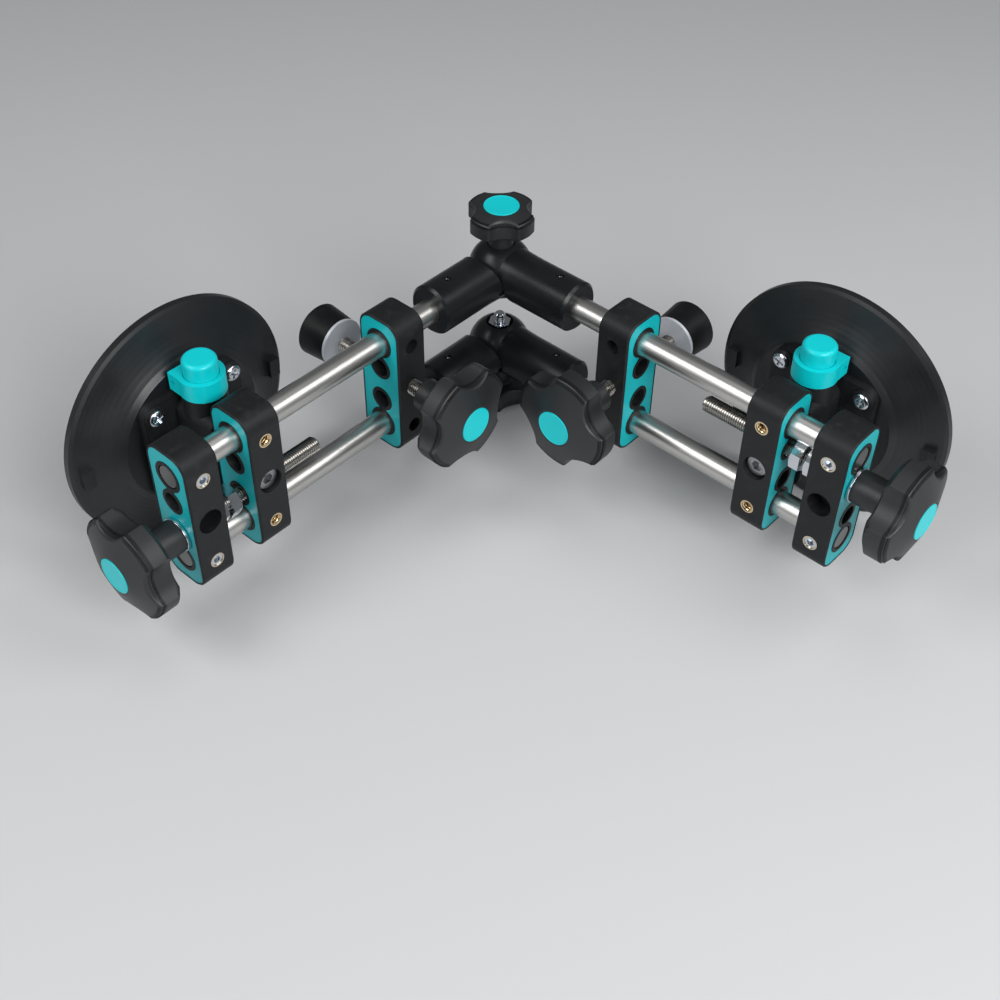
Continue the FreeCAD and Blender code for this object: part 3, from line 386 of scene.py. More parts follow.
class Form(Nodes):
    """A geometry node tree with named inputs."""

    KINDS = {"float": "NodeSocketFloat", "int": "NodeSocketInt", "material": "NodeSocketMaterial"}

    def __init__(self, name, **inputs):
        super().__init__(bpy.data.node_groups.new(name, "GeometryNodeTree"))
        self.tree.is_modifier = True
        face = self.tree.interface
        face.new_socket("Geometry", in_out="INPUT", socket_type="NodeSocketGeometry")
        for label, kind in inputs.items():
            face.new_socket(label.replace("_", " "), in_out="INPUT", socket_type=self.KINDS[kind])
        face.new_socket("Geometry", in_out="OUTPUT", socket_type="NodeSocketGeometry")
        self.given = self.add("NodeGroupInput").outputs
        self.result = self.add("NodeGroupOutput").inputs

    def close(self, geometry, merge=True):
        """End the tree with realised, welded geometry in its material."""
        real = self.out("GeometryNodeRealizeInstances", {"Geometry": geometry})
        if merge:
            real = self.weld(real)
        painted = self.out("GeometryNodeSetMaterial",
                           {"Geometry": real, "Material": self.given["Material"]})
        self.feed(self.result[0], painted)
        return self.tree

    def weld(self, geometry):
        return self.out("GeometryNodeMergeByDistance", {"Geometry": geometry, "Distance": WELD})

    def grid_place(self, columns, rows):
        """A grid, with each of its points' column and row."""
        grid = self.out("GeometryNodeMeshGrid", {"Vertices X": columns, "Vertices Y": rows})
        index = self.out("GeometryNodeInputIndex")
        column = self.math("FLOOR", self.over(self.plus(index, 0.5), rows))
        row = self.minus(index, self.times(column, rows))
        return grid, column, row

    def wrap(self, grid, radius, turn, height):
        """Roll a grid up into polar form."""
        spot = self.out("ShaderNodeCombineXYZ", {
            "X": self.times(radius, self.math("COSINE", turn)),
            "Y": self.times(radius, self.math("SINE", turn)), "Z": height})
        return self.out("GeometryNodeSetPosition", {"Geometry": grid, "Position": spot})

    def turned(self, profile, segments):
        """Column angle and the profile's radius and height for each point of a lathe grid."""
        rows = self.add("GeometryNodeAttributeDomainSize", {"Geometry": profile}).outputs["Point Count"]
        grid, column, row = self.grid_place(self.plus(segments, 1), rows)
        turn = self.times(self.over(column, segments), 2 * math.pi)
        position = self.out("GeometryNodeInputPosition")
        sample = self.add("GeometryNodeSampleIndex",
                          {"Geometry": profile, "Index": row}, data_type="FLOAT_VECTOR")
        self.feed(sample.inputs["Value"], position)
        parts = self.add("ShaderNodeSeparateXYZ", {0: sample.outputs[0]}).outputs
        return grid, turn, parts["X"], parts["Z"]

    def up(self, height):
        """A vector along Z."""
        return self.out("ShaderNodeCombineXYZ", {"Z": height})

    def cylinder(self, sides, radius, depth):
        wires = {"Vertices": sides, "Radius": radius, "Depth": depth}
        return self.out("GeometryNodeMeshCylinder", wires)

    def cone(self, sides, top, bottom, depth):
        wires = {"Vertices": sides, "Radius Top": top, "Radius Bottom": bottom, "Depth": depth}
        return self.out("GeometryNodeMeshCone", wires)

    def on_points(self, points, instance):
        return self.out("GeometryNodeInstanceOnPoints", {"Points": points, "Instance": instance})

    def cut(self, body, tool):
        return self.out("GeometryNodeMeshBoolean", {0: body, 1: tool}, operation="DIFFERENCE",
                        solver="EXACT")

    def combined(self, operation, *meshes):
        node = self.add("GeometryNodeMeshBoolean", operation=operation, solver="EXACT")
        for mesh in meshes:
            self.feed(node.inputs[1], mesh)
        return node.outputs[0]

    def moved(self, geometry, shift=(0, 0, 0), turn=(0, 0, 0)):
        wires = {"Geometry": geometry, "Translation": shift, "Rotation": turn}
        return self.out("GeometryNodeTransform", wires)


def knob_form():
    """A lathe profile whose lobes are parted by round flutes, with rounded edges."""
    form = Form("fluted_knob", Segments="int", Lobes="int", Flute_Radius="float", Flute_Centre="float",
                Rounding="float", Middle="float", Half_Height="float", Material="material")
    given = form.given
    grid, turn, radius, height = form.turned(given["Geometry"], given["Segments"])
    step = form.over(2 * math.pi, given["Lobes"])
    half = form.times(step, 0.5)
    bearing = form.minus(form.math("FLOORED_MODULO", form.plus(turn, half), step), half)
    across = form.times(given["Flute Centre"], form.math("SINE", bearing))
    room = form.minus(form.math("POWER", given["Flute Radius"], 2), form.math("POWER", across, 2))
    depth = form.math("SQRT", form.math("MAXIMUM", room, 0.0))
    clear = form.times(form.math("LESS_THAN", room, 0.0), given["Flute Centre"])
    reach = form.times(given["Flute Centre"], form.math("COSINE", bearing))
    flute = form.plus(form.minus(reach, depth), clear)
    # A point near the flute's edge sinks towards the knob's middle plane along a quarter round.
    near = form.minus(flute, form.math("MINIMUM", radius, flute))
    share = form.over(form.minus(given["Rounding"], near), given["Rounding"])
    lean = form.out("ShaderNodeClamp", {"Value": share})
    round_off = form.minus(1.0, form.math("SQRT", form.minus(1.0, form.math("POWER", lean, 2))))
    sink = form.times(form.times(round_off, given["Rounding"]),
                      form.over(form.minus(height, given["Middle"]), given["Half Height"]))
    waist = form.math("SMOOTH_MIN", radius, flute, given["Rounding"])
    keep = form.math("MINIMUM", form.math("MAXIMUM", waist, 0.0), radius)
    return form.close(form.wrap(grid, keep, turn, form.minus(height, sink)))


def disc_form():
    """A plain lathe form from a profile."""
    form = Form("turned_disc", Segments="int", Material="material")
    grid, turn, radius, height = form.turned(form.given["Geometry"], form.given["Segments"])
    return form.close(form.wrap(grid, radius, turn, height))


def thread_form():
    """A threaded bar with flat crests and roots and bevelled, closed ends."""
    form = Form("threaded_bar", Length="float", Radius="float", Depth="float", Pitch="float",
                Bevel="float", Sides="int", Material="material")
    given = form.given
    # Each turn has four points: both ends of the crest, then both ends of the root. The turns past
    # an end close it.
    lead_in, points, flat, closing = 3, 4, 0.125, 1.5
    turns = form.plus(form.math("CEIL", form.over(given["Length"], given["Pitch"])), 2 * lead_in)
    grid, column, row = form.grid_place(form.plus(given["Sides"], 1), form.times(turns, points))
    share = form.over(column, given["Sides"])
    whole = form.math("FLOOR", form.over(row, points))
    step = form.minus(row, form.times(whole, points))
    root = form.math("FLOOR", form.over(step, 2))
    second = form.minus(step, form.times(root, 2))
    offset = form.plus(form.times(root, 0.5), form.times(second, flat))
    travel = form.times(given["Pitch"], form.plus(form.minus(whole, lead_in), form.plus(offset, share)))
    height = form.math("MINIMUM", form.math("MAXIMUM", travel, 0.0), given["Length"])
    past = form.math("ABSOLUTE", form.minus(travel, height))
    inside = form.math("MINIMUM", height, form.minus(given["Length"], height))
    core = form.minus(given["Radius"], given["Depth"])
    tip = form.minus(core, given["Bevel"])
    ridge = form.minus(given["Radius"], form.times(root, given["Depth"]))
    radius = form.math("MINIMUM", ridge, form.plus(tip, inside))
    shrink = form.over(tip, form.times(given["Pitch"], closing))
    radius = form.math("MAXIMUM", form.minus(radius, form.times(past, shrink)), 0.0)
    turn = form.times(share, 2 * math.pi)
    return form.close(form.wrap(grid, radius, turn, height))


def inner_thread_form():
    """Thread ridges that wind down the holes at the given points."""
    form = Form("inner_thread", Radius="float", Length="float", Pitch="float", Material="material")
    given = form.given
    ridge_share = 0.36
    winding = form.out("GeometryNodeCurveSpiral", {
        "Resolution": 24, "Rotations": form.over(given["Length"], given["Pitch"]),
        "Start Radius": given["Radius"], "End Radius": given["Radius"], "Height": given["Length"]})
    ridge = form.out("GeometryNodeCurvePrimitiveCircle", {
        "Resolution": 4, "Radius": form.times(given["Pitch"], ridge_share)}, mode="RADIUS")
    sweep = form.out("GeometryNodeCurveToMesh", {"Curve": winding, "Profile Curve": ridge,
                                                 "Fill Caps": True})
    return form.close(form.on_points(given["Geometry"], sweep), merge=False)


def cross_screw_form():
    """Pan heads with a cross recess, one at each corner of a rectangle. The profile is the head's."""
    form = Form("cross_screws", Segments="int", Reach_X="float", Reach_Y="float", Recess_Width="float",
                Recess_Reach="float", Recess_Depth="float", Head_Height="float", Spin="float",
                Material="material")
    given = form.given
    grid, turn, radius, height = form.turned(given["Geometry"], given["Segments"])
    head = form.weld(form.wrap(grid, radius, turn, height))
    bar_size = form.out("ShaderNodeCombineXYZ", {
        "X": form.times(given["Recess Reach"], 2), "Y": given["Recess Width"],
        "Z": form.times(given["Recess Depth"], 2)})
    bar = form.out("GeometryNodeMeshCube", {"Size": bar_size})
    bar = form.moved(bar, form.up(given["Head Height"]))
    crossing = form.moved(bar, turn=(0, 0, QUARTER))
    head = form.cut(form.cut(head, bar), crossing)
    corners = form.out("GeometryNodeMeshGrid", {
        "Size X": form.times(given["Reach X"], 2), "Size Y": form.times(given["Reach Y"], 2),
        "Vertices X": 2, "Vertices Y": 2})
    # Each screw is driven to a different turn.
    number, twist_step = form.out("GeometryNodeInputIndex"), 0.83
    twist = form.up(form.plus(given["Spin"], form.times(number, twist_step)))
    placed = form.out("GeometryNodeInstanceOnPoints", {"Points": corners, "Instance": head,
                                                       "Rotation": twist})
    return form.close(placed)


def socket_screw_form():
    """Headless screws with a hex socket, their top faces on the given points."""
    form = Form("socket_screws", Radius="float", Length="float", Socket_Radius="float",
                Socket_Depth="float", Material="material")
    given = form.given
    # The socket's bevelled mouth, in shares of the socket's radius
    wide, narrow, deep = 1.2, 0.8, 0.5
    shank = form.moved(form.cylinder(40, given["Radius"], given["Length"]),
                       form.up(form.times(given["Length"], -0.5)))
    socket = form.cylinder(6, given["Socket Radius"], form.times(given["Socket Depth"], 2))
    top, bottom, depth = [form.times(given["Socket Radius"], share) for share in (wide, narrow, deep)]
    mouth = form.moved(form.cone(40, top, bottom, depth), form.up(form.times(depth, -0.5)))
    screw = form.cut(form.cut(shank, socket), mouth)
    return form.close(form.on_points(given["Geometry"], screw))


def hex_nut_form():
    """Bevelled hexagon nuts with their lower faces on the given points."""
    form = Form("hex_nuts", Flats="float", Height="float", Bore="float", Material="material")
    given = form.given
    corner = form.over(given["Flats"], math.sqrt(3))
    half = form.times(given["Height"], 0.5)
    prism = form.moved(form.cylinder(6, corner, given["Height"]), form.up(half))
    # Two wide cones, base to base, take the corners off both faces.
    slope, face_share = math.tan(math.radians(30)), 0.475
    face = form.times(given["Flats"], face_share)
    wide = form.plus(face, form.over(half, slope))
    quarter = form.times(given["Height"], 0.25)
    upper = form.moved(form.cone(64, face, wide, half), form.up(form.times(quarter, 3)))
    lower = form.moved(form.cone(64, wide, face, half), form.up(quarter))
    spindle = form.combined("UNION", upper, lower)
    shaped = form.combined("INTERSECT", prism, spindle)
    bore = form.cylinder(48, given["Bore"], form.times(given["Height"], 3))
    nut = form.cut(shaped, form.moved(bore, form.up(half)))
    return form.close(form.on_points(given["Geometry"], nut))


# Making and placing pieces

def grow(name, tree, values, seed):
    """Run a node tree on a seed mesh and return the result as a plain mesh."""
    carrier = bpy.data.objects.new(f"{name}_seed", seed)
    bpy.context.scene.collection.objects.link(carrier)
    modifier = carrier.modifiers.new("form", "NODES")
    modifier.node_group = tree
    for item in tree.interface.items_tree:
        if item.in_out == "INPUT" and item.name in values:
            modifier[item.identifier] = values[item.name]
    depsgraph = bpy.context.evaluated_depsgraph_get()
    mesh = bpy.data.meshes.new_from_object(carrier.evaluated_get(depsgraph), depsgraph=depsgraph)
    bpy.data.objects.remove(carrier)
    bpy.data.meshes.remove(seed)
    if not mesh.polygons:
        raise RuntimeError(f"{name}: the node tree made no faces")
    return mesh


def seed_points(points):
    mesh = bpy.data.meshes.new("seed")
    mesh.from_pydata([tuple(point) for point in points], [], [])
    return mesh


def profile_seed(corners, arc_steps=5):
    """A lathe profile in the XZ plane. Each corner is (radius, height, rounding)."""
    line = []
    for k, (r, z, soft) in enumerate(corners):
        here = Vector((r, z))
        if not soft:
            line.append(here)
            continue
        back = (Vector(corners[k - 1][:2]) - here).normalized()
        ahead = (Vector(corners[k + 1][:2]) - here).normalized()
        half = back.angle(ahead) / 2
        reach = soft / math.tan(half)
        centre = here + (back + ahead).normalized() * (soft / math.sin(half))
        start, end = here + back * reach - centre, here + ahead * reach - centre
        sweep = start.angle_signed(end)
        for step in range(arc_steps + 1):
            line.append(centre + Matrix.Rotation(-sweep * step / arc_steps, 2) @ start)
    return seed_points([(point.x, 0.0, point.y) for point in line])


def dense(corners, spacing):
    """Corners with plain points added along the straight runs."""
    filled = [corners[0]]
    for (r0, z0, _), (r1, z1, soft) in zip(corners, corners[1:]):
        count = max(1, round(math.hypot(r1 - r0, z1 - z0) / spacing))
        for k in range(1, count):
            filled.append((r0 + (r1 - r0) * k / count, z0 + (z1 - z0) * k / count, 0))
        filled.append((r1, z1, soft))
    return filled


def seat(node, turn, axis_node=None):
    """Where a node's foot sits on its axis once turned, with its size along its own X, Y and Z."""
    def reach(name):
        low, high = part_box(name)
        back = turn.inverted()
        corners = [back @ Vector((x, y, z)) for x in (low.x, high.x) for y in (low.y, high.y)
                   for z in (low.z, high.z)]
        return [(min(c[k] for c in corners), max(c[k] for c in corners)) for k in range(3)]
    own = reach(node)
    axis = reach(axis_node or node)
    middle = [(low + high) / 2 for low, high in axis]
    place = turn @ Matrix.Translation((middle[0], middle[1], own[2][0]))
    return place, Vector([high - low for low, high in own])


def settle(name, parts, body, slot, *nodes, sharp=32):
    """Join placed meshes into one piece at the origin that rides on a body and stands for nodes."""
    shape = bmesh.new()
    material = next(item for item in parts[0][0].materials if item)
    for mesh, place in parts:
        mesh.transform(place)
        shape.from_mesh(mesh)
        bpy.data.meshes.remove(mesh)
    bmesh.ops.dissolve_degenerate(shape, dist=SLIVER, edges=shape.edges)
    bmesh.ops.recalc_face_normals(shape, faces=shape.faces)
    for face in shape.faces:
        face.smooth = True
        face.material_index = 0
    for edge in shape.edges:
        edge.smooth = edge.calc_face_angle(0.0) < math.radians(sharp)
    joined = bpy.data.meshes.new(name)
    shape.to_mesh(joined)
    shape.free()
    joined.materials.append(material)
    piece = bpy.data.objects.new(name, joined)
    bpy.context.scene.collection.objects.link(piece)
    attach(piece, body)
    if nodes:
        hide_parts(*nodes)


def paint(node, finish):
    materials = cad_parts[node].data.materials
    materials.clear()
    materials.append(FINISH[finish])


class SEAM_OT_solids(Operator):
    """Give every solid that keeps its shape its finish"""

    bl_idname = "seam_setter.solids"
    bl_label = "Solids"

    def execute(self, context):
        make_finishes()
        for arm in ARMS:
            looks = {
                "block": ("carriage_block", "end_block", "level_block", "pump_hub"),
                "hinge": ("upper_knuckle", "lower_knuckle"),
                f"{arm}_cup": ("suction_cup",), "pad": ("level_pad",),
                "plate": ("carriage_plates", "end_plates", "level_plates"),
                "teal": ("pump_collar", "pump_button"), f"{arm}_rods": ("rods",),
                "zinc": ("set_screws",), "bolt": ("cup_bolt",), "pad_plate": ("level_pad_plate",),
                "brass": ("carriage_inserts",), "pale_brass": ("end_inserts",)}
            for finish, nodes in looks.items():
                for node in nodes:
                    paint(f"{arm}_{node}", finish)
        return {"FINISHED"}


# Heights are from the boss's foot: the lobes' back, the start and end of their wall, and the face.
KnobShape = namedtuple("KnobShape", "radius boss back heel brow face rim")
KNOB_SHAPES = {"big": KnobShape(31.5, 10.0, 20.0, 23.0, 32.2, 41.0, 4.0),
               "small": KnobShape(21.5, 8.0, 17.5, 19.0, 27.2, 32.0, 3.2)}
CAP_POCKET = 11.0 * MM
CAP_SINK = 1.2 * MM
CAP_LIP = 1.2 * MM
# Facets round one lobe, spacing of points on the profile, and points on a rounding
KNOB_FACETS = 90
KNOB_SPACING = 0.75 * MM
KNOB_ARC_STEPS = 8


def knob_mesh(label, tree, kind, place, turn):
    """One knob's mesh, placed with its flutes turned."""
    size = sizes()
    radius, boss, back, heel, brow, face, rim = [MM * value for value in KNOB_SHAPES[kind]]
    lip = CAP_POCKET + CAP_LIP
    shoulder = radius - rim
    # The face falls away to the rim, and its line meets the wall above the rim's rounding.
    fall = (face - brow - rim) / (shoulder - lip)
    edge = brow + rim * (1 - fall)
    floor = face - CAP_SINK
    corners = dense([
        (0.0, 0.0, 0), (boss, 0.0, 0.5 * MM), (boss, back, 1.2 * MM), (shoulder, back, 0.7 * MM),
        (radius, heel, 0.7 * MM), (radius, edge, rim), (lip, face, 0.3 * MM), (CAP_POCKET, face, 0.25 * MM),
        (CAP_POCKET, floor, 0), (0.0, floor, 0)], KNOB_SPACING)
    values = {
        "Segments": KNOB_FACETS * size.lobes, "Lobes": size.lobes, "Rounding": size.lobe_round,
        "Flute Radius": getattr(size, f"{kind}_flute_radius"),
        "Flute Centre": getattr(size, f"{kind}_flute_centre"),
        "Middle": (back + face) / 2, "Half Height": (face - back) / 2, "Material": FINISH["knob"]}
    mesh = grow(label, tree, values, profile_seed(corners, KNOB_ARC_STEPS))
    return mesh, place @ Matrix.Rotation(turn, 4, "Z")


class SEAM_OT_knobs(Operator):
    """Lead, level and clamp knobs with rounded lobes"""

    bl_idname = "seam_setter.knobs"
    bl_label = "Knobs"

    CAP_FACETS = 96
    CAP_DIP = 0.18 * MM
    CAP_SLOPE = 0.25 * MM

    def execute(self, context):
        size = sizes()
        knob_tree, disc_tree = knob_form(), disc_form()
        jobs = []
        for arm in ARMS:
            jobs.append((f"{arm}_lead", f"{arm}_lead", ALONG[arm], "big", f"{arm}_lead_knob_cap"))
            jobs.append((f"{arm}_level", f"{arm}_level_turner", OUTWARD[arm], "big", f"{arm}_level_knob_cap"))
        for name, turned in (("upper", UPWARD), ("lower", DOWNWARD)):
            jobs.append((f"{name}_clamp", f"{name}_clamp", turned, "small", f"{name}_clamp_cap"))
        for stem, body, turned, kind, cap in jobs:
            place, _ = seat(f"{stem}_knob", turned, cap)
            knob = knob_mesh(stem, knob_tree, kind, place, getattr(size, f"{stem}_turn"))
            settle(f"{stem}_star_knob", [knob], body, "black_plastic", f"{stem}_knob", sharp=50)
            self.cap_disc(stem, disc_tree, cap, body, turned)
        return {"FINISHED"}

    def cap_disc(self, stem, tree, cap, body, turned):
        """The coloured disc, with a raised border and a shallow face."""
        place, extent = seat(cap, turned)
        edge, high, rim = extent.x / 2, extent.z, sizes().cap_rim
        low = high - self.CAP_DIP
        corners = [(0.0, 0.0, 0), (edge, 0.0, 0), (edge, high, 0.3 * MM), (edge - rim, high, 0.1 * MM),
                   (edge - rim - self.CAP_SLOPE, low, 0.1 * MM), (0.0, low, 0)]
        values = {"Segments": self.CAP_FACETS, "Material": FINISH["teal"]}
        mesh = grow(cap, tree, values, profile_seed(corners))
        settle(f"{stem}_cap_disc", [(mesh, place)], body, "teal_plastic", cap)


class SEAM_OT_screws(Operator):
    """Lead screws, levelling screws and hinge studs with their threads"""

    bl_idname = "seam_setter.screws"
    bl_label = "Threaded screws"

    def execute(self, context):
        size = sizes()
        tree = thread_form()
        values = {"Depth": size.thread_depth, "Pitch": size.thread_pitch, "Bevel": size.thread_bevel,
                  "Sides": size.thread_sides, "Material": FINISH["screw"]}
        for arm in ARMS:
            for node, body, turned in ((f"{arm}_lead_screw", f"{arm}_lead", ALONG[arm]),
                                       (f"{arm}_level_stud", f"{arm}_level_turner", OUTWARD[arm])):
                place, extent = seat(node, turned)
                shape = {**values, "Length": extent.z, "Radius": extent.x / 2}
                settle(f"{node}_thread", [(grow(node, tree, shape, seed_points([])), place)], body,
                       "bright_steel", node)
        low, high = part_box("hinge_studs")
        middle = (low + high) / 2
        parts = []
        shape = {**values, "Length": size.stud_length, "Radius": size.stud_radius,
                 "Pitch": size.stud_pitch, "Depth": size.stud_depth, "Material": FINISH["zinc"]}
        for foot in (low.z, high.z - size.stud_length):
            mesh = grow("hinge_studs", tree, shape, seed_points([]))
            parts.append((mesh, Matrix.Translation((middle.x, middle.y, foot))))
        settle("hinge_studs_thread", parts, "left_frame", "zinc_steel", "hinge_studs")
        return {"FINISHED"}


class SEAM_OT_nuts(Operator):
    """Jam nuts with their thrust washers, and the hinge nuts"""

    bl_idname = "seam_setter.nuts"
    bl_label = "Nuts"

    JAM_BORE = 4.6 * MM
    JAM_GAP = 0.3 * MM
    HINGE_BORE = 3.5 * MM
    WASHER_RADIUS = 10.5 * MM
    WASHER_ROUND = 0.3 * MM
    WASHER_FACETS = 72

    def execute(self, context):
        size = sizes()
        tree, ring_tree = hex_nut_form(), disc_form()
        shape = {"Flats": size.nut_flats, "Height": size.nut_height, "Bore": self.JAM_BORE,
                 "Material": FINISH["zinc"]}
        inner, outer, thick = self.JAM_BORE, self.WASHER_RADIUS, size.washer_thick
        ring = [(inner, 0, 0), (outer, 0, self.WASHER_ROUND), (outer, thick, self.WASHER_ROUND),
                (inner, thick, 0), (inner, 0, 0)]
        ring_shape = {"Segments": self.WASHER_FACETS, "Material": FINISH["zinc"]}
        feet = [(0, 0, 0), (0, 0, size.nut_height + self.JAM_GAP)]
        for arm in ARMS:
            node = f"{arm}_lead_nuts"
            place, extent = seat(node, ALONG[arm], f"{arm}_lead_screw")
            pair = grow(node, tree, shape, seed_points(feet))
            washer = grow(node, ring_tree, ring_shape, profile_seed(ring))
            lift = Matrix.Translation((0, 0, extent.z - thick))
            settle(f"{arm}_jam_nuts", [(pair, place), (washer, place @ lift)], f"{arm}_lead",
                   "zinc_steel", node)
        low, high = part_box("hinge_nuts")
        middle = (low + high) / 2
        shape = {"Flats": size.hinge_nut_flats, "Height": size.hinge_nut_height, "Bore": self.HINGE_BORE,
                 "Material": FINISH["zinc"]}
        feet = [(middle.x, middle.y, low.z), (middle.x, middle.y, high.z - size.hinge_nut_height)]
        mesh = grow("hinge_nuts", tree, shape, seed_points(feet))
        settle("hinge_nut_pair", [(mesh, Matrix.Identity(4))], "left_frame", "zinc_steel", "hinge_nuts")
        return {"FINISHED"}


class SEAM_OT_hub_screws(Operator):
    """Pan head screws with cross recesses on the pump hubs"""

    bl_idname = "seam_setter.hub_screws"
    bl_label = "Hub screws"

    SHANK_RADIUS = 2.0 * MM
    CROWN_DROP, CROWN_INSET = 0.9 * MM, 1.3 * MM
    FACETS = 40
    SPACING = 0.8 * MM
    ARC_STEPS = 3
    FIRST_SPIN = 0.4

    def execute(self, context):
        size = sizes()
        tree = cross_screw_form()
        for arm in ARMS:
            node = f"{arm}_hub_screws"
            place, extent = seat(node, OUTWARD[arm])
            top, head, shank = extent.z, size.head_radius, self.SHANK_RADIUS
            under, crown = top - size.head_height, top - self.CROWN_DROP
            corners = dense([(0, 0, 0), (shank, 0, 0.3 * MM), (shank, under, 0), (head, under, 0.2 * MM),
                             (head, crown, 0.5 * MM), (head - self.CROWN_INSET, top, 0.6 * MM),
                             (0, top, 0)], self.SPACING)
            values = {
                "Segments": self.FACETS, "Reach X": extent.x / 2 - head, "Reach Y": extent.y / 2 - head,
                "Recess Width": size.cross_width, "Recess Reach": size.cross_reach,
                "Recess Depth": size.cross_depth, "Head Height": top, "Spin": self.FIRST_SPIN,
                "Material": FINISH["zinc"]}
            mesh = grow(node, tree, values, profile_seed(corners, self.ARC_STEPS))
            settle(f"{arm}_cross_screws", [(mesh, place)], f"{arm}_carriage", "zinc_steel", node)
        return {"FINISHED"}


class SEAM_OT_set_screws(Operator):
    """Set screws in the rod sockets, and the lock screws of the hinge studs"""

    bl_idname = "seam_setter.set_screws"
    bl_label = "Set screws"

    # Outside of the rod sockets, then the screws' length and hex
    SOCKET_RADIUS = 16.0 * MM
    LENGTH, HEX_RADIUS, HEX_DEPTH = 4.0 * MM, 1.35 * MM, 1.8 * MM
    # The lock screws look at the inside of the corner.
    CORNER_TURN = Matrix.Rotation(math.radians(-45), 4, "Z") @ Matrix.Rotation(QUARTER, 4, "Y")

    def execute(self, context):
        size = sizes()
        tree = socket_screw_form()
        low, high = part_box("hinge_studs")
        hinge = Vector(((low.x + high.x) / 2, (low.y + high.y) / 2, 0.0))
        values = {"Radius": size.socket_screw_radius, "Length": self.LENGTH,
                  "Socket Radius": self.HEX_RADIUS, "Socket Depth": self.HEX_DEPTH,
                  "Material": FINISH["dark_screw"]}
        rise = self.SOCKET_RADIUS - size.socket_screw_sink
        out = size.socket_screw_out
        reach = {"left": Vector((0, -out, 0)), "right": Vector((out, 0, 0))}
        for arm in ARMS:
            tops = [hinge + reach[arm] + Vector((0, 0, side * size.rod_half_gap + rise)) for side in (1, -1)]
            parts = [(grow(f"{arm}_socket_set", tree, values, seed_points(tops)), Matrix.Identity(4))]
            if arm == "left":
                parts.append(self.lock_screws(tree, values, hinge))
            settle(f"{arm}_socket_set_screws", parts, f"{arm}_frame", "zinc_steel")
        return {"FINISHED"}

    def lock_screws(self, tree, values, hinge):
        """The screws that hold the hinge studs, one in each left knuckle."""
        size = sizes()
        back = self.CORNER_TURN.inverted()
        out = self.CORNER_TURN @ Vector((0, 0, size.lock_screw_out))
        spots = [back @ (hinge + out + Vector((0, 0, side * size.rod_half_gap - size.lock_screw_drop)))
                 for side in (1, -1)]
        return grow("lock_screws", tree, values, seed_points(spots)), self.CORNER_TURN


class SEAM_OT_insert_threads(Operator):
    """Threads inside the empty brass inserts of the carriages"""

    bl_idname = "seam_setter.insert_threads"
    bl_label = "Insert threads"

    SINK = 0.2 * MM

    def execute(self, context):
        size = sizes()
        tree = inner_thread_form()
        for arm in ARMS:
            turn = OUTWARD[arm]
            low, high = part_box(f"{arm}_carriage_block")
            middle = (low + high) / 2
            deep = size.insert_length + self.SINK
            face = (Vector((high.x - deep, middle.y, 0)) if arm == "left" else
                    Vector((middle.x, low.y + deep, 0)))
            back = turn.inverted()
            spots = [back @ (face + Vector((0, 0, side * size.rod_half_gap))) for side in (1, -1)]
            values = {"Radius": size.insert_radius, "Length": size.insert_length, "Pitch": size.insert_pitch,
                      "Material": FINISH["brass"]}
            mesh = grow(f"{arm}_insert", tree, values, seed_points(spots))
            settle(f"{arm}_insert_threads", [(mesh, turn)], f"{arm}_carriage", "brass")
        return {"FINISHED"}


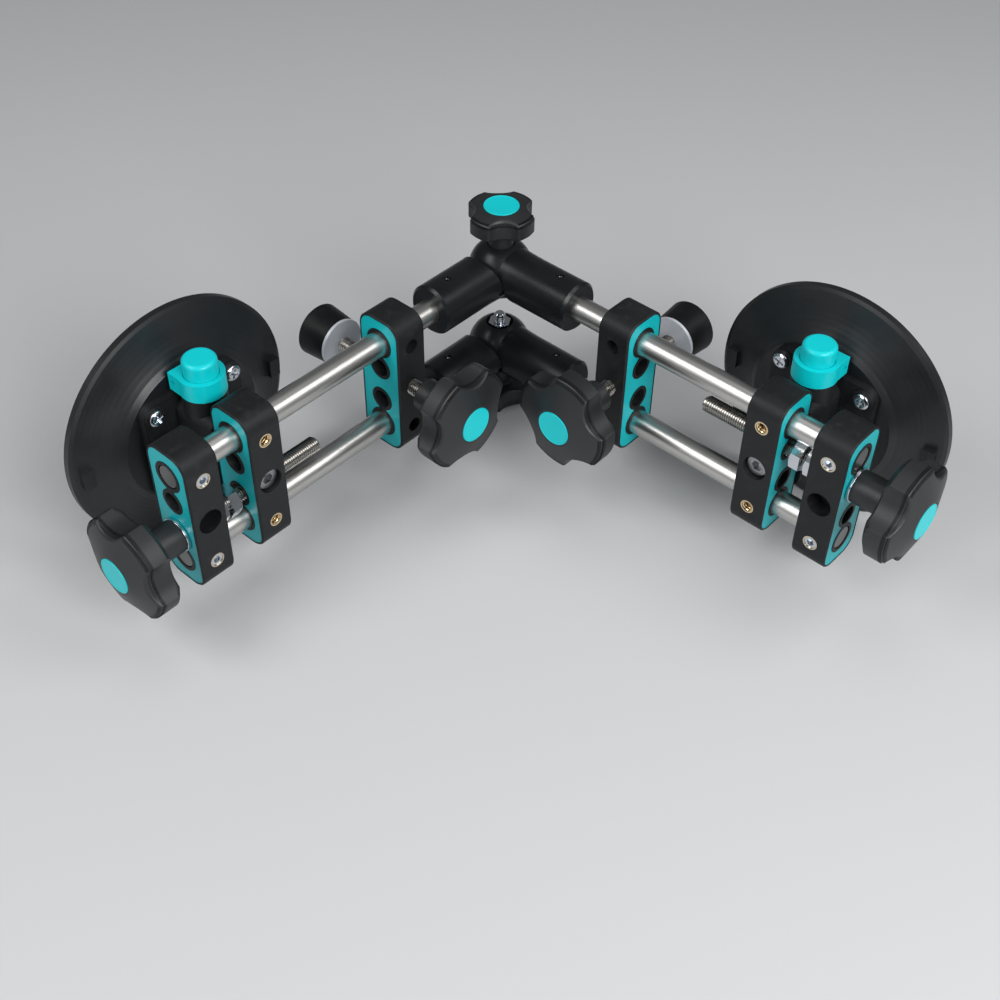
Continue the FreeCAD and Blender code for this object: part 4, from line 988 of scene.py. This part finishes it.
class SEAM_OT_stage(Operator):
    """Pale floor, soft lamps and the camera"""

    bl_idname = "seam_setter.stage"
    bl_label = "Stage"

    FLOOR_HALF = 6.0
    FLOOR_GAP = 0.2 * MM
    FLOOR_CLOUD = (0.45, 0.45, 0.46, 1.0)
    CAMERA_PLACE = (0.5571, -0.3461, 0.5472)
    CAMERA_YAW, CAMERA_PITCH, CAMERA_ROLL = 0.7221, 0.7727, 0.0174
    FOCAL_LENGTH, SENSOR_WIDTH = 51.47, 36.0
    AIR_COLOUR, AIR_STRENGTH = (0.94, 0.97, 1.0, 1.0), 0.14
    AIM = Vector((0.16, 0.12, 0.0))
    # Each lamp: name, place, width, watts
    LAMPS = (
        ("key_lamp", (1.50, -0.30, 0.90), 1.0, 23.0),
        ("left_fill_lamp", (0.00, -1.40, 0.90), 1.1, 7.0),
        ("right_rim_lamp", (1.10, 0.72, 1.15), 0.8, 6.0),
        ("left_rim_lamp", (-0.38, -0.90, 1.30), 0.8, 9.0),
        ("top_lamp", (0.10, 0.30, 1.80), 1.0, 3.0),
    )

    def execute(self, context):
        scene = context.scene
        self.floor(scene)
        for name, place, width, watts in self.LAMPS:
            data = bpy.data.lights.new(name, "AREA")
            data.shape = "DISK"
            data.size = width
            data.energy = watts
            lamp = bpy.data.objects.new(name, data)
            lamp.location = place
            lamp.rotation_euler = (self.AIM - Vector(place)).to_track_quat("-Z", "Y").to_euler()
            scene.collection.objects.link(lamp)
        world = bpy.data.worlds.new("studio")
        world.use_nodes = True
        air = world.node_tree.nodes["Background"]
        air.inputs["Color"].default_value = self.AIR_COLOUR
        air.inputs["Strength"].default_value = self.AIR_STRENGTH
        scene.world = world
        lens = bpy.data.cameras.new("photo_camera")
        lens.lens = self.FOCAL_LENGTH
        lens.sensor_width = self.SENSOR_WIDTH
        lens.clip_start, lens.clip_end = 0.01, 50.0
        camera = bpy.data.objects.new("photo_camera", lens)
        camera.matrix_world = (Matrix.Translation(self.CAMERA_PLACE)
                               @ Matrix.Rotation(self.CAMERA_YAW, 4, "Z")
                               @ Matrix.Rotation(QUARTER - self.CAMERA_PITCH, 4, "X")
                               @ Matrix.Rotation(self.CAMERA_ROLL, 4, "Z"))
        scene.collection.objects.link(camera)
        scene.camera = camera
        scene.view_settings.view_transform = "Standard"
        return {"FINISHED"}

    def floor(self, scene):
        level = CAD_BOX[0].z - self.FLOOR_GAP
        half = self.FLOOR_HALF
        corners = [(-half, -half, level), (half, -half, level), (half, half, level), (-half, half, level)]
        mesh = bpy.data.meshes.new("floor")
        mesh.from_pydata(corners, [], [(0, 1, 2, 3)])
        made = Finish("pale_floor", IOR=1.45)
        cloud = made.span(made.noise(3, detail=4), 0.0, 0.12, start=0.0, end=1.0)
        tone = made.blend(cloud, finishes().floor_grey, self.FLOOR_CLOUD)
        mesh.materials.append(made.surface(tone, made.span(made.noise(40), 0.5, 0.6, start=0.0, end=1.0)))
        floor = bpy.data.objects.new("floor", mesh)
        scene.collection.objects.link(floor)


OPERATORS = (SEAM_OT_solids, SEAM_OT_knobs, SEAM_OT_screws, SEAM_OT_nuts, SEAM_OT_hub_screws,
             SEAM_OT_set_screws, SEAM_OT_insert_threads, SEAM_OT_stage)


class SEAM_PT_setter(Panel):
    """Sizes, finishes and steps of the corner seam setter"""

    bl_idname = "SEAM_PT_setter"
    bl_label = "Seam setter"
    bl_space_type = "VIEW_3D"
    bl_region_type = "UI"
    bl_category = "Seam setter"

    def draw(self, context):
        layout = self.layout
        for operator in OPERATORS:
            layout.operator(operator.bl_idname)
        for group in (sizes(), finishes()):
            column = layout.column(align=True)
            for name in group.__annotations__:
                column.prop(group, name)


CLASSES = (SeamSetterSizes, SeamSetterFinishes, *OPERATORS, SEAM_PT_setter)


def register():
    for item in CLASSES:
        bpy.utils.register_class(item)
    bpy.types.Scene.seam_setter_sizes = PointerProperty(type=SeamSetterSizes)
    bpy.types.Scene.seam_setter_finishes = PointerProperty(type=SeamSetterFinishes)


def unregister():
    del bpy.types.Scene.seam_setter_finishes
    del bpy.types.Scene.seam_setter_sizes
    for item in reversed(CLASSES):
        bpy.utils.unregister_class(item)


def main():
    register()
    for operator in OPERATORS:
        family, name = operator.bl_idname.split(".")
        getattr(getattr(bpy.ops, family), name)()


if __name__ == "__main__":
    main()
